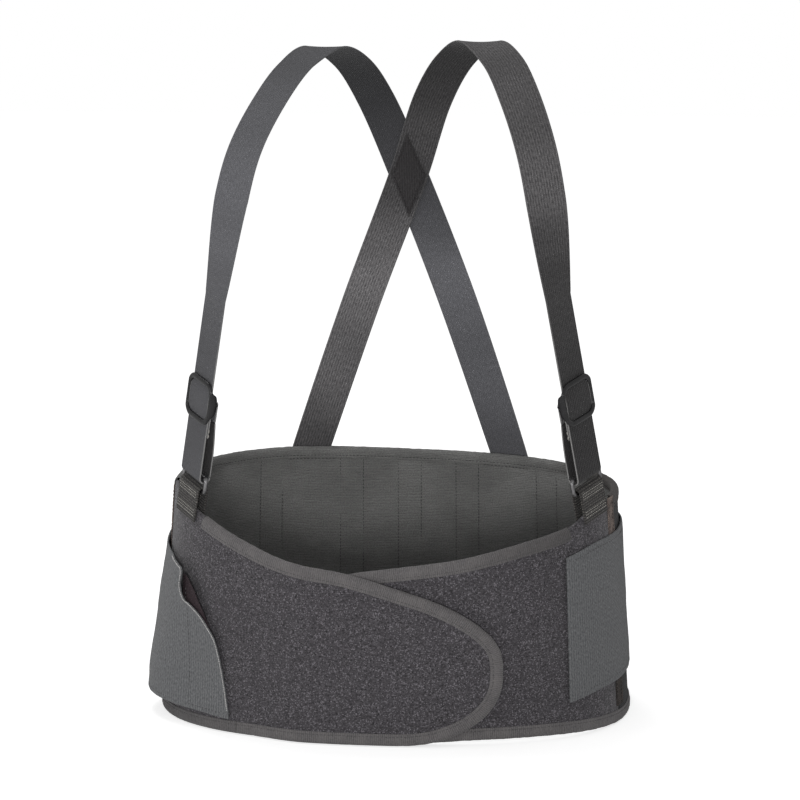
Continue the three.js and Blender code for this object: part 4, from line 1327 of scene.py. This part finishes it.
def end_stitches(rig, places, faces):
    """A sewn box with a cross where the strap ends on the back of the belt."""
    here, out = places[-1], faces[-1]
    back = unit(places[-9] - here)
    if np.dot(out, here * np.array([1, 1, 0])) < 0:
        out = -out
    across = unit(np.cross(back, out))
    half, tall, low = STRAP_WIDE / 2 - 4, 22.0, 3.0
    start = here + out * (STRAP_THICK / 2 + 0.1)
    turns = ((-1, 0), (1, 0), (1, 1), (-1, 1), (-1, 0), (1, 1), (-1, 1), (1, 0))
    corners = [start + across * a * half + back * (low + b * tall) for a, b in turns]
    runs = [(np.array(corners[i:i + 2]), np.array([out, out])) for i in (0, 1, 2, 3, 4, 6)]
    sew(f"strap_end_stitches_{rig.side}", runs, DARK_THREAD, "strap", "belt", radius=0.34)


def crossing_patch(line):
    """The stitched diamond on the inner strap's inner face."""
    wide, tall = PATCH["half"], PATCH["tall"]
    near = line[(line[:, 1] > 60) & (np.abs(line[:, 0]) < 60)]
    near = near[np.argsort(near[:, 2])]
    v = np.linspace(-1, 1, 61)
    u = np.linspace(-1, 1, 21)
    z = CROSSING[1] + tall * v
    y = np.interp(z, near[:, 2], near[:, 1])
    way = unit(np.stack([0 * z, -np.ones_like(z), np.gradient(y, z)], -1))
    half = np.maximum(wide * (1 - np.abs(v)), 0.6)
    middle = np.stack([u[None, :] * half[:, None], y[:, None] + 0 * u, z[:, None] + 0 * u], -1)
    edge = edge_share(middle, TAPE / 2)[..., None] * TAPE / 2
    under = STRAP_THICK / 2 + PATCH["clear"]
    centre = middle + way[:, None] * (under + TAPE / 2)
    outer, inner = centre + way[:, None] * edge, centre - way[:, None] * edge
    piece = grid_solid("crossing_diamond", outer, inner, middle[..., [0, 2]], DARK_WEAVE_AND_SHADE)
    fit(piece, "strap", "belt", "cross_patch")
    share = np.linspace(0.04, 0.96, 16)
    faces = np.tile([0.0, -1.0, 0.0], (16, 1))
    runs = []
    for a, b in ((-1, 1), (1, 1), (1, -1), (-1, -1)):
        z_run = CROSSING[1] + b * (tall - 4) * (1 - share)
        y_run = np.interp(z_run, near[:, 2], near[:, 1]) - under - TAPE - 0.1
        runs.append((np.stack([a * (wide - 2.2) * share, y_run, z_run], -1), faces))
    sew("crossing_stitches", runs, DARK_THREAD, "strap", "belt", radius=0.28, pitch=2.8)


# ---- stage: camera, lights, floor
AZIMUTH, ELEVATION, DISTANCE = math.radians(5.6), math.radians(10.0), 2.75
TARGET = Vector((0, 0, 0.268))
DOME = 0.42  # the dome's light, against 1 for the white that the camera sees
PAPER_GLOW = 0.67  # the floor's own light
LAMPS = {  # place, size and watts
    "key": ((0.1, -2.7, 0.4), 0.5, 25),
    "side": ((-2.2, -1.3, 0.4), 0.5, 9),
    "top": ((-0.5, 0.7, 2.2), 0.9, 14),
}
FLOOR_REACH = 6.0


def add_object(name, data, place, look=None):
    """A camera or lamp that looks along a vector, or else a floor."""
    made = bpy.data.objects.new(name, data)
    made.location = place
    if look is not None:
        made.rotation_euler = look.to_track_quat("-Z", "Y").to_euler()
    bpy.context.scene.collection.objects.link(made)
    return made


def camera():
    back = Vector((
        math.sin(AZIMUTH) * math.cos(ELEVATION),
        -math.cos(AZIMUTH) * math.cos(ELEVATION),
        math.sin(ELEVATION),
    ))
    data = bpy.data.cameras.new("camera")
    data.sensor_width = 36.0
    data.lens = 143.5
    data.shift_x = 0.005
    bpy.context.scene.camera = add_object("camera", data, TARGET + back * DISTANCE, -back)


def seen_directly(tree):
    """1 where the camera looks straight at the stage, 0 where its light falls on something."""
    return tree.nodes.new("ShaderNodeLightPath").outputs["Is Camera Ray"]


def studio():
    """A soft frontal light over a dim dome, on paper that stays white to the eye."""
    world = bpy.data.worlds.new("studio")
    world.use_nodes = True
    tree = world.node_tree
    strength = tree.nodes.new("ShaderNodeMapRange")
    strength.inputs["To Min"].default_value = DOME
    strength.inputs["To Max"].default_value = 1.0
    tree.links.new(seen_directly(tree), strength.inputs["Value"])
    tree.links.new(strength.outputs["Result"], tree.nodes["Background"].inputs["Strength"])
    tree.nodes["Background"].inputs["Color"].default_value = (1, 1, 1, 1)
    bpy.context.scene.world = world
    bpy.context.scene.view_settings.view_transform = "Standard"
    for name, (place, size, watts) in LAMPS.items():
        data = bpy.data.lights.new(name, "AREA")
        data.energy = watts
        data.size = size
        add_object(name, data, place, Vector((0, 0, 0.25)) - Vector(place))

    floor_mesh = bpy.data.meshes.new("floor")
    corners = [(x * FLOOR_REACH, y * FLOOR_REACH, 0) for x, y in ((-1, -1), (1, -1), (1, 1), (-1, 1))]
    floor_mesh.from_pydata(corners, [], [(0, 1, 2, 3)])
    shade = Shade("floor_paper", rough=0.9, specular=0.0)
    shade.shader.inputs["Base Color"].default_value = (0.8, 0.8, 0.8, 1)
    shade.shader.inputs["Emission Color"].default_value = (1, 1, 1, 1)
    glow = shade.maths("MULTIPLY", seen_directly(shade.tree), PAPER_GLOW)
    shade.tree.links.new(glow, shade.shader.inputs["Emission Strength"])
    floor_mesh.materials.append(shade.material)
    add_object("floor", floor_mesh, (0, 0, -0.0006))


# ---- build
camera()
studio()
back_layers()
back_hem()
lower_binding()
strap_places = {}
for side in SIDES:
    seam_tape(side)
    front_panel(side)
    front_binding(side)
    pull_sheet(side)
    pull_stitches(side)
    pull_hooks(side)
    pull_anchor(side)
    rig = Rig(side)
    webbing_loop(rig)
    plated_ring(rig)
    adjuster(rig)
    strap_hump(rig)
    strap_tab(rig)
    strap_return(rig)
    strap_places[side] = shoulder_strap(rig)
tongue_hooks()
crossing_patch(strap_places["right"])
for name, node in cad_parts.items():
    if name.startswith("stay_"):
        node.data.materials.clear()
        node.data.materials.append(STAY)
